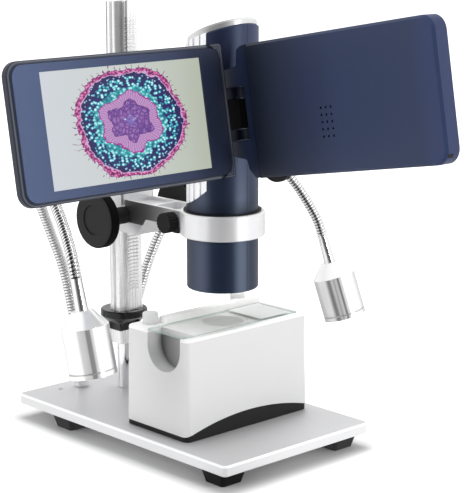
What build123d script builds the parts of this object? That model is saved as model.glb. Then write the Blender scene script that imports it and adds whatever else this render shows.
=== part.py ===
"""LCD digital microscope: base, geared column, camera head, two-leaf screen, lamps and light stage.

Units are millimetres, +Z is up and the floor is z = 0. Work planes are centred on the optical axis,
so sketch coordinates are read from there. The front of the stand faces -Y, the column stands at +Y.
"""
from build123d import *
from math import acos, cos, degrees, pi, radians, sin, tan
import os

# ---------------------------------------------------------------- driving dimensions
optical_x = 11.16
optical_y = 25.60
fit = 0.05  # running or seating gap on each side
gap = 0.3  # clear gap between pieces that move past each other

# base plate, feet and column foot
foot_height = 7.6
foot_top = 17.0
foot_bottom = 12.6
foot_x = 38.0
foot_front_y = -41.5
foot_back_y = 73.6
foot_screw_radius = 1.5
foot_screw_grip = 3.0
foot_recess_radius = 3.0
foot_recess_depth = 3.0
screw_head_radius = 2.775
screw_head_height = 1.6
plate_width = 98.2
plate_front = -54.5
plate_back = 105.9
plate_thickness = 5.4
plate_corner = 2.5
wire_hole_x = -28.4
wire_hole_y = 96.1
wire_hole_radius = 1.6
post_y = 77.1
post_radius = 4.0
post_length = 25.3
post_spigot = 3.0
block_width = 13.0
block_depth = 10.6
block_height = 7.2
collar_radius = 12.4
collar_flange = 3.5
collar_stub_width = 14.0
collar_stub_height = 3.0
collar_taper = 4.5
collar_socket = 6.5

# column and rack
column_width = 15.5
column_front = 71.1
column_depth = 7.8
column_length = 168.0
groove_width = 2.2
groove_depth = 1.6
rack_width = 6.3
rack_depth = 3.0
tooth_module = 0.6
pinion_teeth = 16
rack_teeth = 76
rack_margin = 6.0
tooth_backlash = 0.12

# focus carriage: heights are above the plate
arm_top = 104.4
arm_bottom = 96.4
arm_width = 19.0
arm_rim = 2.2
pocket_depth = 3.4
near_pocket_front = 24.7
near_pocket_back = 41.3
far_pocket_depth = 1.7
arm_rib = 2.3
arm_back_rim = 7.8
gusset_top_y = 47.5
gusset_bottom_y = 54.0
carriage_bottom = 87.4
sleeve_width = 21.2
sleeve_front = 64.1
sleeve_wall = 3.6
sleeve_top = 124.0
pinion_height = 96.5
pinion_shaft_radius = 2.0
knob_radius = 14.6
knob_face_x = 30.3
knob_thickness = 6.4
knob_hub_radius = 4.4
knob_dish_radius = 7.8

# clamp ring
ring_outer = 20.9
ring_bore = 18.3
ring_bottom = 94.7
ring_height = 12.3
slit_end_y = 31.0
slit_width = 1.2
clamp_y = 26.0
clamp_height = 98.4
clamp_bolt_radius = 1.6
clamp_knob_radius = 5.1
clamp_knob_length = 6.0
clamp_nut_size = 5.6
clamp_nut_depth = 2.6

# camera head
tube_radius = 17.64
tube_wall = 2.0
tube_bottom = 68.5
tube_slope = 0.394
tube_top = 192.1
cap_thickness = 3.4
shell_edge_y = -6.5
shell_edge_height = 119.0
shell_back_height = 110.0
rib_count = 15
rib_depth = 0.7
barrel_radius = 9.5
barrel_length = 42.0
led_board_thickness = 1.6
led_size = 3.0
led_thickness = 1.2
diffuser_set = 1.8
diffuser_thickness = 1.2
sensor_thickness = 1.5
head_led_count = 8
lens_window_radius = 7.5

# screen hinge
hinge_x = -6.85
hinge_y = -28.85
hinge_height = 128.9
hinge_tilt = 10.07
wing_yaw = 2.46
pin_radius = 1.6
knuckle_radius = 4.0
fixed_low = 22.0
fixed_high = 36.0
lid_knuckle = 5.0
wing_knuckle_low = 10.7
wing_knuckle_high = 46.8
hinge_arm_width = 7.0

# leaves: x runs away from the hinge, y up the leaf, z to its back
leaf_root = 11.75
leaf_height = 62.5
leaf_front = -1.1
leaf_back = 6.9
leaf_corner = 7.0
leaf_edge = 1.2
lid_length = 121.0
wing_length = 119.4
wing_drop = 1.8
bezel_thickness = 1.6
lid_wall = 1.6
leaf_ledge = 2.1
leaf_end_ledge = 4.8
lid_back_chamfer = 2.6
screen_inset = 13.8
screen_rise = 5.8
screen_far_margin = 15.8
screen_top_margin = 5.6
screen_width = lid_length - screen_inset - screen_far_margin
screen_height = leaf_height - screen_rise - screen_top_margin
module_border_x = 2.0
module_border_y = 0.8
glass_thickness = 0.7
module_thickness = 2.0
board_thickness = 1.0
tongue_low = 9.5
tongue_high = 53.0
dial_radius = 11.6
dial_x = 9.0
dial_y = 9.0
dial_thickness = 2.6
dial_low = 1.4
speaker_x = 50.4
speaker_y = 22.9
speaker_radius = 7.0
battery_margin = 6.0
wing_pocket_start = 27.0
wing_pocket_margin = 7.0
board_clearance = 1.0
battery_height = 40.0
battery_thickness = 2.8

# lamps
ferrule_x = 16.5
ferrule_y = 93.8
ferrule_radius = 4.0
ferrule_height = 16.5
hose_radius = 2.6
lamp_radius = 11.4
lamp_length = 23.2
lamp_cone = 7.8
lamp_neck_radius = 5.0
lamp_wall = 1.6
lamp_recess = 3.0
lamp_board_gap = 2.0
lamp_lens_set = 0.6
lamp_led_size = 5.0
lamp_groove = 2.3
stem_length = 15.4
stem_base_radius = 3.05
stem_tip_radius = 2.2
stem_socket = 3.0

# light stage: heights are above the plate
stage_width = 82.8
stage_x = 1.4
stage_draft = 1.0
stage_front = -18.0
stage_back = 28.2
stage_height = 51.0
board_drop = 8.0
shell_roof = 3.6
stage_corner = 3.5
stage_wall = 2.4
stage_skirt = 2.5
stage_arch = 8.5
stage_lift = 0.1
notch_front = -12.4
notch_back = 11.5
notch_bottom = 32.2
notch_reach = 10.0
slide_length = 76.0
slide_width = 26.0
slide_thickness = 1.0
slide_left = -38.3
slide_front = -14.0
slide_proud = 0.5
window_radius = 10.4
window_thickness = 2.0
rail_front = 12.6
rail_back = 18.0
rail_left = -26.0
rail_right = 38.0
rail_height = 3.4
stud_x = 29.5
stud_y = 20.6
stud_radius = 3.9
stud_height = 5.5

# ---------------------------------------------------------------- derived places
plate_top = foot_height + plate_thickness
plate_length = plate_back - plate_front
plate_middle = (plate_back + plate_front) / 2
block_bottom = plate_top + post_length
block_top = block_bottom + block_height
collar_taper_bottom = block_top + collar_stub_height
flange_bottom = collar_taper_bottom + collar_taper
collar_top = flange_bottom + collar_flange
column_bottom = collar_top - collar_socket
column_back = column_front + column_depth
column_top = column_bottom + column_length
column_middle = (column_front + column_back) / 2
rack_tip = column_front - rack_depth
rack_bottom = collar_top + rack_margin
tooth_pitch = pi * tooth_module
pinion_pitch_radius = pinion_teeth * tooth_module / 2
pinion_y = rack_tip + tooth_module - pinion_pitch_radius
pinion_z = plate_top + pinion_height
sleeve_bottom = pinion_height + knob_hub_radius + 2 * gap
ring_level = plate_top + ring_bottom
clamp_z = plate_top + clamp_height
tube_level = plate_top + tube_bottom
shaft_end = knob_face_x - knob_thickness + 1.0
tube_inner = tube_radius - tube_wall


def level(height):
    """Horizontal work plane at a height above the floor, centred on the optical axis."""
    return Plane(origin=(optical_x, optical_y, height))


def across(x=0.0):
    """Upright plane square to X: its x runs along Y and its y is the height."""
    return Plane(origin=(optical_x + x, optical_y, 0), x_dir=(0, 1, 0), z_dir=(1, 0, 0))


def spots(plane, points):
    """Places on a plane, for holes."""
    return [plane.location * Pos(*point) for point in points]


def finish(block, label):
    """Name a finished piece and write it."""
    block.part.label = label
    export_step(block.part, f"parts/{label}.step")


os.makedirs("parts", exist_ok=True)

# ---------------------------------------------------------------- base
foot_places = [(x, y) for x in (-foot_x, foot_x) for y in (foot_front_y, foot_back_y)]
ferrule_places = [(-ferrule_x, ferrule_y), (ferrule_x, ferrule_y)]

with BuildPart() as base_plate:
    with BuildSketch(level(foot_height)):
        with Locations((0, plate_middle)):
            RectangleRounded(plate_width, plate_length, plate_corner)
    extrude(amount=plate_thickness)
    chamfer(base_plate.faces().sort_by(Axis.Z)[-1].outer_wire().edges(), 0.6)
    chamfer(base_plate.faces().sort_by(Axis.Z)[0].outer_wire().edges(), 0.4)
    with Locations(*spots(level(plate_top), [(wire_hole_x, wire_hole_y)])):
        Hole(wire_hole_radius)
    with Locations(*spots(level(plate_top), [(0, post_y)] + ferrule_places)):
        Hole(post_spigot / 2 + fit, depth=plate_thickness - 1)
    with BuildSketch(level(foot_height)):
        with Locations(*foot_places):
            Circle(foot_screw_radius + fit)
    extrude(amount=foot_screw_grip + fit, mode=Mode.SUBTRACT)
finish(base_plate, "base_plate")

with BuildPart() as rubber_feet:
    for place in foot_places:
        with BuildSketch(level(0)):
            with Locations(place):
                RectangleRounded(foot_bottom, foot_bottom, 1.6)
        with BuildSketch(level(foot_height)):
            with Locations(place):
                RectangleRounded(foot_top, foot_top, 2.4)
        loft()
    with BuildSketch(level(0)):
        with Locations(*foot_places):
            Circle(foot_recess_radius)
    extrude(amount=foot_recess_depth, mode=Mode.SUBTRACT)
    with BuildSketch(level(0)):
        with Locations(*foot_places):
            Circle(foot_screw_radius + fit)
    extrude(amount=foot_height, mode=Mode.SUBTRACT)
finish(rubber_feet, "rubber_feet")

with BuildPart() as foot_screws:
    with BuildSketch(level(foot_recess_depth)):
        with Locations(*foot_places):
            Circle(screw_head_radius)
    extrude(amount=-screw_head_height)
    with BuildSketch(level(foot_recess_depth)):
        with Locations(*foot_places):
            Circle(foot_screw_radius)
    extrude(amount=foot_height + foot_screw_grip - foot_recess_depth)
finish(foot_screws, "foot_screws")

# ---------------------------------------------------------------- column
with BuildPart() as column_post:
    with BuildSketch(level(plate_top)):
        with Locations((0, post_y)):
            Circle(post_radius)
    extrude(amount=post_length)
    fillet(column_post.edges().filter_by(GeomType.CIRCLE), 0.5)
    with BuildSketch(level(plate_top - plate_thickness + 1 + fit)):
        with Locations((0, post_y)):
            Circle(post_spigot / 2)
    extrude(amount=post_length + plate_thickness + block_height / 2)
finish(column_post, "column_post")

with BuildPart() as foot_block:
    with BuildSketch(level(block_bottom)):
        with Locations((0, post_y)):
            Rectangle(block_width, block_depth)
    extrude(amount=block_height)
    chamfer(foot_block.edges().filter_by(Axis.Z), 0.8)
    with BuildSketch(level(block_bottom)):
        with Locations((0, post_y)):
            Circle(post_spigot / 2 + fit)
    extrude(amount=block_height - 1, mode=Mode.SUBTRACT)
finish(foot_block, "foot_block")


def column_outline(clearance=0.0):
    """T-section of the column without its grooves, grown by a clearance."""
    with Locations((0, column_middle)):
        Rectangle(column_width + 2 * clearance, column_depth + 2 * clearance)
    with Locations((0, (rack_tip + column_front) / 2)):
        Rectangle(rack_width + 2 * clearance, rack_depth + 2 * clearance)


with BuildPart() as column_collar:
    with BuildSketch(level(block_top)):
        with Locations((0, post_y)):
            Rectangle(collar_stub_width, block_depth)
    extrude(amount=collar_stub_height)
    with BuildSketch(level(collar_taper_bottom)):
        with Locations((0, post_y)):
            RectangleRounded(collar_stub_width, block_depth, 1.0)
    with BuildSketch(level(flange_bottom)):
        with Locations((0, post_y)):
            Circle(collar_radius)
    loft()
    with BuildSketch(level(flange_bottom)):
        with Locations((0, post_y)):
            Circle(collar_radius)
    extrude(amount=collar_flange)
    chamfer(column_collar.faces().sort_by(Axis.Z)[-1].outer_wire().edges(), 0.6)
    with BuildSketch(level(column_bottom - fit)):
        column_outline(fit)
    extrude(amount=collar_socket + 1, mode=Mode.SUBTRACT)
finish(column_collar, "column_collar")

with BuildPart() as column:
    with BuildSketch(level(column_bottom)):
        with Locations((0, column_middle)):
            Rectangle(column_width, column_depth)
            with Locations((-column_width / 2, 0), (column_width / 2, 0)):
                Rectangle(2 * groove_depth, groove_width, mode=Mode.SUBTRACT)
            with Locations((0, column_depth / 2)):
                Rectangle(column_width * 0.4, 2 * groove_depth, mode=Mode.SUBTRACT)
    extrude(amount=column_length)
    chamfer(column.faces().sort_by(Axis.Z)[-1].outer_wire().edges(), 0.3)
finish(column, "column")

# The rack is a bar with straight-sided teeth cut across its front face.
tooth_height = 2.25 * tooth_module
tooth_top = tooth_module * (pi / 2 - 2 * tan(radians(20))) - tooth_backlash
tooth_root = tooth_top + 2 * tooth_height * tan(radians(20))
first_tooth = pinion_z - tooth_pitch * round((pinion_z - rack_bottom - rack_margin) / tooth_pitch)

with BuildPart() as gear_rack:
    with BuildSketch(across()):
        with Locations(((rack_tip + tooth_height + column_front) / 2, (collar_top + column_top) / 2)):
            Rectangle(column_front - rack_tip - tooth_height, column_top - collar_top)
        for index in range(rack_teeth):
            tooth_z = first_tooth + index * tooth_pitch
            with BuildLine():
                Polyline(
                    (rack_tip + tooth_height + fit, tooth_z - tooth_root / 2),
                    (rack_tip, tooth_z - tooth_top / 2),
                    (rack_tip, tooth_z + tooth_top / 2),
                    (rack_tip + tooth_height + fit, tooth_z + tooth_root / 2),
                    close=True,
                )
            make_face()
    extrude(amount=rack_width / 2, both=True)
finish(gear_rack, "gear_rack")

# ---------------------------------------------------------------- focus drive
# Involute pinion: the half angle of a tooth at any radius follows from the base circle.
base_radius = pinion_pitch_radius * cos(radians(20))
pinion_tip_radius = pinion_pitch_radius + tooth_module * 0.9
pinion_root_radius = pinion_pitch_radius - tooth_module * 1.25


def involute(radius):
    """Involute function at a radius of the pinion."""
    angle = acos(min(1.0, base_radius / radius))
    return tan(angle) - angle


def tooth_half_angle(radius):
    """Half the angle that a pinion tooth covers at a radius."""
    at_pitch = pi / (2 * pinion_teeth) - tooth_backlash / (2 * pinion_pitch_radius)
    return at_pitch + involute(pinion_pitch_radius) - involute(max(radius, base_radius))


def tooth_points():
    """Outline of one pinion tooth about its +X centre line."""
    steps = [pinion_root_radius - 0.3, base_radius, pinion_pitch_radius, pinion_tip_radius]
    side = [(r * cos(tooth_half_angle(r)), r * sin(tooth_half_angle(r))) for r in steps]
    return [(x, -y) for x, y in side] + side[::-1]


with BuildSketch(Plane.XY) as pinion_tooth:
    with BuildLine():
        Polyline(*tooth_points(), close=True)
    make_face()

with BuildPart() as pinion_shaft:
    with BuildSketch(across()):
        with Locations((pinion_y, pinion_z)):
            Circle(pinion_root_radius)
            with PolarLocations(0, pinion_teeth, start_angle=180 / pinion_teeth):
                add(pinion_tooth.sketch)
    extrude(amount=rack_width / 2, both=True)
    with BuildSketch(across()):
        with Locations((pinion_y, pinion_z)):
            Circle(pinion_shaft_radius)
    extrude(amount=shaft_end, both=True)
finish(pinion_shaft, "pinion_shaft")


def focus_knob(side, label):
    """Focus knob on one end of the pinion shaft; side is -1 for left and 1 for right."""
    hub_start = arm_width / 2 + gap
    hub_length = knob_face_x - knob_thickness - hub_start
    hub = (optical_x + side * hub_start, optical_y + pinion_y, pinion_z)
    base = Plane(origin=hub, x_dir=(0, 1, 0), z_dir=(side, 0, 0))
    with BuildPart() as knob:
        with BuildSketch(base.offset(hub_length)):
            Circle(knob_radius)
        extrude(amount=knob_thickness)
        fillet(knob.edges().filter_by(GeomType.CIRCLE), 1.6)
        with BuildSketch(base.offset(hub_length + knob_thickness - 0.8)):
            Circle(knob_dish_radius)
        extrude(amount=0.8, mode=Mode.SUBTRACT)
        with BuildSketch(base):
            Circle(knob_hub_radius)
        extrude(amount=hub_length)
        with BuildSketch(base):
            Circle(pinion_shaft_radius)
        extrude(amount=shaft_end - hub_start, mode=Mode.SUBTRACT)
    finish(knob, label)


focus_knob(-1, "focus_knob_left")
focus_knob(1, "focus_knob_right")

# ---------------------------------------------------------------- carriage, arm and clamp ring
with BuildPart() as focus_arm:
    with BuildSketch(level(ring_level)):
        Circle(ring_outer)
    extrude(amount=ring_height)
    chamfer(focus_arm.edges().filter_by(GeomType.CIRCLE), 0.5)
    with BuildSketch(across()):
        with BuildLine():
            Polyline(
                (ring_bore, plate_top + arm_bottom),
                (gusset_top_y, plate_top + arm_bottom),
                (gusset_bottom_y, plate_top + carriage_bottom),
                (column_back + sleeve_wall, plate_top + carriage_bottom),
                (column_back + sleeve_wall, plate_top + arm_top),
                (ring_bore, plate_top + arm_top),
                close=True,
            )
        make_face()
    extrude(amount=arm_width / 2, both=True)
    with BuildSketch(level(plate_top + sleeve_bottom)):
        with Locations((0, (sleeve_front + column_back + sleeve_wall) / 2)):
            RectangleRounded(sleeve_width, column_back + sleeve_wall - sleeve_front, 1.2)
    extrude(amount=sleeve_top - sleeve_bottom)
    # column and rack run through
    with BuildSketch(level(plate_top + carriage_bottom)):
        column_outline(2 * fit)
    extrude(amount=sleeve_top - carriage_bottom, mode=Mode.SUBTRACT)
    # pinion chamber and shaft bore
    with BuildSketch(across()):
        with Locations((pinion_y, pinion_z)):
            Circle(pinion_tip_radius + gap)
    extrude(amount=rack_width / 2 + gap, both=True, mode=Mode.SUBTRACT)
    with BuildSketch(across()):
        with Locations((pinion_y, pinion_z)):
            Circle(pinion_shaft_radius + fit)
    extrude(amount=arm_width / 2, both=True, mode=Mode.SUBTRACT)
    # open pockets on top, with a rib between them
    far_pocket_front = near_pocket_back + arm_rib
    far_pocket_back = column_front - arm_back_rim
    for front, back, depth in (
        (near_pocket_front, near_pocket_back, pocket_depth),
        (far_pocket_front, far_pocket_back, far_pocket_depth),
    ):
        with BuildSketch(level(plate_top + arm_top)):
            with Locations((0, (front + back) / 2)):
                RectangleRounded(arm_width - 2 * arm_rim, back - front, 1.0)
        extrude(amount=-depth, mode=Mode.SUBTRACT)
    # ring bore, clamp slit, bolt hole and nut seat
    with BuildSketch(level(ring_level)):
        Circle(ring_bore)
        with Locations((0, slit_end_y / 2)):
            Rectangle(slit_width, slit_end_y)
    extrude(amount=ring_height, mode=Mode.SUBTRACT)
    with BuildSketch(across()):
        with Locations((clamp_y, clamp_z)):
            Circle(clamp_bolt_radius + fit)
    extrude(amount=arm_width / 2, both=True, mode=Mode.SUBTRACT)
    with BuildSketch(across(arm_width / 2)):
        with Locations((clamp_y, clamp_z)):
            Rectangle(clamp_nut_size, clamp_nut_size)
    extrude(amount=-clamp_nut_depth, mode=Mode.SUBTRACT)
finish(focus_arm, "focus_arm")

with BuildPart() as ring_liner:
    with BuildSketch(level(ring_level + 0.4)):
        Circle(ring_bore - fit)
        Circle(tube_radius + fit, mode=Mode.SUBTRACT)
    extrude(amount=ring_height - 0.4 + 2 * fit)
    with BuildSketch(level(ring_level + ring_height + fit)):
        Circle(ring_bore + 0.9)
        Circle(tube_radius + fit, mode=Mode.SUBTRACT)
    extrude(amount=0.5)
finish(ring_liner, "ring_liner")

clamp_knob_x = arm_width / 2 + 0.5
clamp_end_x = clamp_knob_x + clamp_knob_length - 1.5

with BuildPart() as clamp_knob:
    with BuildSketch(across(-clamp_knob_x)):
        with Locations((clamp_y, clamp_z)):
            Circle(clamp_knob_radius)
            with PolarLocations(clamp_knob_radius + 0.35, 18):
                Circle(0.7, mode=Mode.SUBTRACT)
    extrude(amount=-clamp_knob_length)
    with BuildSketch(across(-clamp_knob_x)):
        with Locations((clamp_y, clamp_z)):
            Circle(clamp_bolt_radius)
    extrude(amount=-(clamp_end_x - clamp_knob_x), mode=Mode.SUBTRACT)
finish(clamp_knob, "clamp_knob")

with BuildPart() as clamp_bolt:
    with BuildSketch(across(-clamp_end_x)):
        with Locations((clamp_y, clamp_z)):
            Circle(clamp_bolt_radius)
    extrude(amount=clamp_end_x + arm_width / 2)
finish(clamp_bolt, "clamp_bolt")

with BuildPart() as clamp_nut:
    with BuildSketch(across(arm_width / 2 - clamp_nut_depth)):
        with Locations((clamp_y, clamp_z)):
            Rectangle(clamp_nut_size - 2 * fit, clamp_nut_size - 2 * fit)
            Circle(clamp_bolt_radius + fit, mode=Mode.SUBTRACT)
    extrude(amount=clamp_nut_depth - 0.2)
finish(clamp_nut, "clamp_nut")

# ---------------------------------------------------------------- camera head
def slant(y, rise=0.0):
    """Height of the head's sloping top at a depth y."""
    return plate_top + tube_top + rise - tube_slope * y


def slab(low, high):
    """Side view of the space between two heights above the head's sloping top."""
    reach = tube_radius + 5
    Polyline(
        (-reach, slant(-reach, low)),
        (reach, slant(reach, low)),
        (reach, slant(reach, high)),
        (-reach, slant(-reach, high)),
        close=True,
    )


def back_outline():
    """Side view of the space that the back shell fills, with a curved lower edge."""
    low_edge = plate_top + shell_edge_height
    low_back = plate_top + shell_back_height
    beyond = tube_radius + 2
    above = slant(-tube_radius) + 20
    ThreePointArc((shell_edge_y, low_edge), (4.0, (low_edge + low_back) / 2 - 2.2), (beyond, low_back))
    Polyline((beyond, low_back), (beyond, above), (shell_edge_y, above), (shell_edge_y, low_edge))


full_height = slant(-tube_radius) + 2 - tube_level

with BuildPart() as tube_body:
    with BuildSketch(level(tube_level)):
        Circle(tube_radius)
    extrude(amount=full_height)
    fillet(tube_body.edges().filter_by(GeomType.CIRCLE).sort_by(Axis.Z)[0], 0.9)
    with BuildSketch(across()):
        with BuildLine():
            slab(0, full_height)
        make_face()
    extrude(amount=tube_radius + 5, both=True, mode=Mode.SUBTRACT)
    chamfer(tube_body.edges().sort_by(Axis.Z)[-1], 0.8)
    with BuildSketch(level(tube_level)):
        Circle(tube_inner)
    extrude(amount=full_height, mode=Mode.SUBTRACT)
    with BuildSketch(across()):
        with BuildLine():
            back_outline()
        make_face()
    extrude(amount=tube_radius + 5, both=True, mode=Mode.SUBTRACT)
finish(tube_body, "tube_body")

rib_first = -90 + degrees(acos(-shell_edge_y / tube_radius)) + 10
rib_sweep = 360 - 2 * (rib_first + 90)

with BuildPart() as back_shell:
    with BuildSketch(level(tube_level)):
        Circle(tube_radius)
        Circle(tube_inner, mode=Mode.SUBTRACT)
        for index in range(rib_count):
            with PolarLocations(tube_radius, 1, start_angle=rib_first + index * rib_sweep / (rib_count - 1)):
                Rectangle(2 * rib_depth, 1.7, mode=Mode.SUBTRACT)
    extrude(amount=full_height)
    with BuildSketch(across()):
        with BuildLine():
            back_outline()
        make_face()
    extrude(amount=tube_radius + 5, both=True, mode=Mode.INTERSECT)
    with BuildSketch(across()):
        with BuildLine():
            slab(0, full_height)
        make_face()
    extrude(amount=tube_radius + 5, both=True, mode=Mode.SUBTRACT)
finish(back_shell, "back_shell")

with BuildPart() as head_cap:
    with BuildSketch(level(tube_level)):
        Circle(tube_radius - 0.9)
    extrude(amount=full_height + 20)
    with BuildSketch(across()):
        with BuildLine():
            slab(0, cap_thickness)
        make_face()
    extrude(amount=tube_radius + 5, both=True, mode=Mode.INTERSECT)
    fillet(head_cap.edges().sort_by(Axis.Z)[-1], 1.2)
finish(head_cap, "head_cap")

led_level = tube_level + 6.0
barrel_top = tube_level + 3.0 + barrel_length

with BuildPart() as lens_barrel:
    with BuildSketch(level(tube_level + 3.0)):
        Circle(barrel_radius)
        Circle(lens_window_radius + fit, mode=Mode.SUBTRACT)
    extrude(amount=barrel_length)
finish(lens_barrel, "lens_barrel")

with BuildPart() as front_lens:
    with BuildSketch(level(tube_level + 4.0)):
        Circle(lens_window_radius)
    extrude(amount=2.4)
    fillet(front_lens.edges().sort_by(Axis.Z)[0], 1.0)
finish(front_lens, "front_lens")

with BuildPart() as led_ring_board:
    with BuildSketch(level(led_level)):
        Circle(tube_inner - fit)
        Circle(barrel_radius + fit, mode=Mode.SUBTRACT)
    extrude(amount=led_board_thickness)
finish(led_ring_board, "led_ring_board")

with BuildPart() as head_leds:
    with BuildSketch(level(led_level)):
        with PolarLocations((tube_inner + barrel_radius) / 2, head_led_count):
            Rectangle(led_size, led_size)
    extrude(amount=-led_thickness)
finish(head_leds, "head_leds")

with BuildPart() as head_diffuser:
    with BuildSketch(level(tube_level + diffuser_set)):
        Circle(tube_inner - fit)
        Circle(lens_window_radius, mode=Mode.SUBTRACT)
    extrude(amount=diffuser_thickness)
finish(head_diffuser, "head_diffuser")

with BuildPart() as sensor_board:
    with BuildSketch(level(barrel_top)):
        Circle(tube_inner - fit)
    extrude(amount=led_board_thickness)
finish(sensor_board, "sensor_board")

with BuildPart() as image_sensor:
    with BuildSketch(level(barrel_top)):
        Rectangle(lens_window_radius * 1.3, lens_window_radius)
    extrude(amount=-sensor_thickness)
finish(image_sensor, "image_sensor")

# ---------------------------------------------------------------- tilted screen hinge
tilt_sin = sin(radians(hinge_tilt))
tilt_cos = cos(radians(hinge_tilt))
yaw_sin = sin(radians(wing_yaw))
yaw_cos = cos(radians(wing_yaw))
hinge_origin = (optical_x + hinge_x, optical_y + hinge_y, plate_top + hinge_height)
# Leaf planes: x runs from the pin along the leaf, y along the pin, z to the leaf's back.
lid_plane = Plane(origin=hinge_origin, x_dir=(-1, 0, 0), z_dir=(0, tilt_cos, -tilt_sin))
# The second leaf stands a little lower on the pin than the lid.
wing_origin = (
    hinge_origin[0],
    hinge_origin[1] - wing_drop * tilt_sin,
    hinge_origin[2] - wing_drop * tilt_cos,
)
wing_plane = Plane(
    origin=wing_origin,
    x_dir=(-yaw_sin, -tilt_cos * yaw_cos, tilt_sin * yaw_cos),
    z_dir=(-yaw_cos, tilt_cos * yaw_sin, -tilt_sin * yaw_sin),
)
pin_plane = Plane(origin=hinge_origin, x_dir=(-1, 0, 0), z_dir=(0, tilt_sin, tilt_cos))

wing_low = (wing_knuckle_low, fixed_low - lid_knuckle - 2 * gap)
wing_high = (fixed_high + lid_knuckle + 2 * gap, wing_knuckle_high)
lid_low = (fixed_low - lid_knuckle - gap, fixed_low - gap)
lid_high = (fixed_high + gap, fixed_high + lid_knuckle + gap)

with BuildPart() as hinge_pin:
    with BuildSketch(pin_plane.offset(wing_low[0] + 0.6)):
        Circle(pin_radius)
    extrude(amount=wing_high[1] - wing_low[0] - 1.2)
finish(hinge_pin, "hinge_pin")

with BuildPart() as hinge_block:
    with BuildSketch(pin_plane.offset(fixed_low)):
        Circle(knuckle_radius)
        with Locations((0, -knuckle_radius - 3)):
            Rectangle(hinge_arm_width, 2 * knuckle_radius + 6)
    extrude(amount=fixed_high - fixed_low)
    with BuildSketch(level(tube_level)):
        Circle(tube_radius)
    extrude(amount=full_height, mode=Mode.SUBTRACT)
    with BuildSketch(pin_plane.offset(fixed_low)):
        Circle(pin_radius + fit)
    extrude(amount=fixed_high - fixed_low, mode=Mode.SUBTRACT)
finish(hinge_block, "hinge_block")


def leaf_outline(length):
    """Outline of a leaf beyond its root, with the two far corners rounded."""
    end = leaf_root + length
    FilletPolyline(
        (leaf_root, 0), (end, 0), (end, leaf_height), (leaf_root, leaf_height), radius=leaf_corner
    )
    Line((leaf_root, leaf_height), (leaf_root, 0))


def tongue_outline(reach):
    """Outline of the neck that carries a leaf's knuckles, ending at a distance from the pin."""
    Polyline(
        (leaf_root + 1, 0.3),
        (leaf_root - 1.9, 0.3),
        (leaf_root - 5.9, 4.7),
        (leaf_root - 6.6, 8.7),
        (leaf_root - 8.0, tongue_low),
        (reach, tongue_low + 1.4),
        (reach, tongue_high - 1.2),
        (leaf_root - 7.0, tongue_high),
        (leaf_root - 5.3, leaf_height - 2.1),
        (leaf_root - 2.6, leaf_height - 0.6),
        (leaf_root + 1, leaf_height - 0.3),
        close=True,
    )


split = 1.6  # the leaf's front half ends here, behind it lie the tongues
pocket_back = leaf_back - lid_wall

with BuildPart() as lid_shell:
    with BuildSketch(lid_plane.offset(leaf_front)):
        with BuildLine():
            leaf_outline(lid_length)
        make_face()
    extrude(amount=leaf_back - leaf_front)
    chamfer(lid_shell.faces().sort_by(Axis.Y)[-1].outer_wire().edges(), lid_back_chamfer)
    fillet(lid_shell.faces().sort_by(Axis.Y)[0].outer_wire().edges(), leaf_edge)
    for low, high in (lid_low, lid_high):
        with BuildSketch(lid_plane.offset(split)):
            with Locations((0, low)):
                Rectangle(leaf_root + 3, high - low, align=(Align.MIN, Align.MIN))
        extrude(amount=leaf_back - split - lid_back_chamfer)
        with BuildSketch(pin_plane.offset(low)):
            Circle(knuckle_radius)
        extrude(amount=high - low)
        with BuildSketch(pin_plane.offset(low)):
            Circle(pin_radius + fit)
        extrude(amount=high - low, mode=Mode.SUBTRACT)
    # recess for the bezel, then the room for the screen and its board
    with BuildSketch(lid_plane.offset(leaf_front)):
        with Locations((leaf_root + lid_length / 2, leaf_height / 2)):
            RectangleRounded(lid_length - 2 * lid_wall, leaf_height - 2 * lid_wall, leaf_corner - lid_wall)
    extrude(amount=bezel_thickness, mode=Mode.SUBTRACT)
    with BuildSketch(lid_plane.offset(leaf_front)):
        with Locations((leaf_root + lid_length / 2, leaf_height / 2)):
            Rectangle(
                lid_length - 2 * (lid_wall + leaf_end_ledge), leaf_height - 2 * (lid_wall + leaf_ledge)
            )
    extrude(amount=pocket_back - leaf_front, mode=Mode.SUBTRACT)
finish(lid_shell, "lid_shell")

screen_middle = (leaf_root + screen_inset + screen_width / 2, screen_rise + screen_height / 2)

with BuildPart() as lid_bezel:
    with BuildSketch(lid_plane.offset(leaf_front + 0.2)):
        with Locations((leaf_root + lid_length / 2, leaf_height / 2)):
            RectangleRounded(
                lid_length - 2 * lid_wall - 2 * gap,
                leaf_height - 2 * lid_wall - 2 * gap,
                leaf_corner - lid_wall,
            )
        with Locations(screen_middle):
            Rectangle(screen_width, screen_height, mode=Mode.SUBTRACT)
    extrude(amount=bezel_thickness - 0.2)
finish(lid_bezel, "lid_bezel")

glass_front = leaf_front + bezel_thickness - glass_thickness

with BuildPart() as screen_glass:
    with BuildSketch(lid_plane.offset(glass_front)):
        with Locations(screen_middle):
            Rectangle(screen_width - 2 * fit, screen_height - 2 * fit)
    extrude(amount=glass_thickness)
finish(screen_glass, "screen_glass")

with BuildPart() as lcd_module:
    with BuildSketch(lid_plane.offset(leaf_front + bezel_thickness)):
        with Locations(screen_middle):
            Rectangle(screen_width + 2 * module_border_x, screen_height + 2 * module_border_y)
    extrude(amount=module_thickness)
finish(lcd_module, "lcd_module")

with BuildPart() as driver_board:
    with BuildSketch(lid_plane.offset(leaf_front + bezel_thickness + module_thickness)):
        with Locations(screen_middle):
            Rectangle(screen_width * 0.7, screen_height * 0.7)
    extrude(amount=board_thickness)
finish(driver_board, "driver_board")

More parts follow.
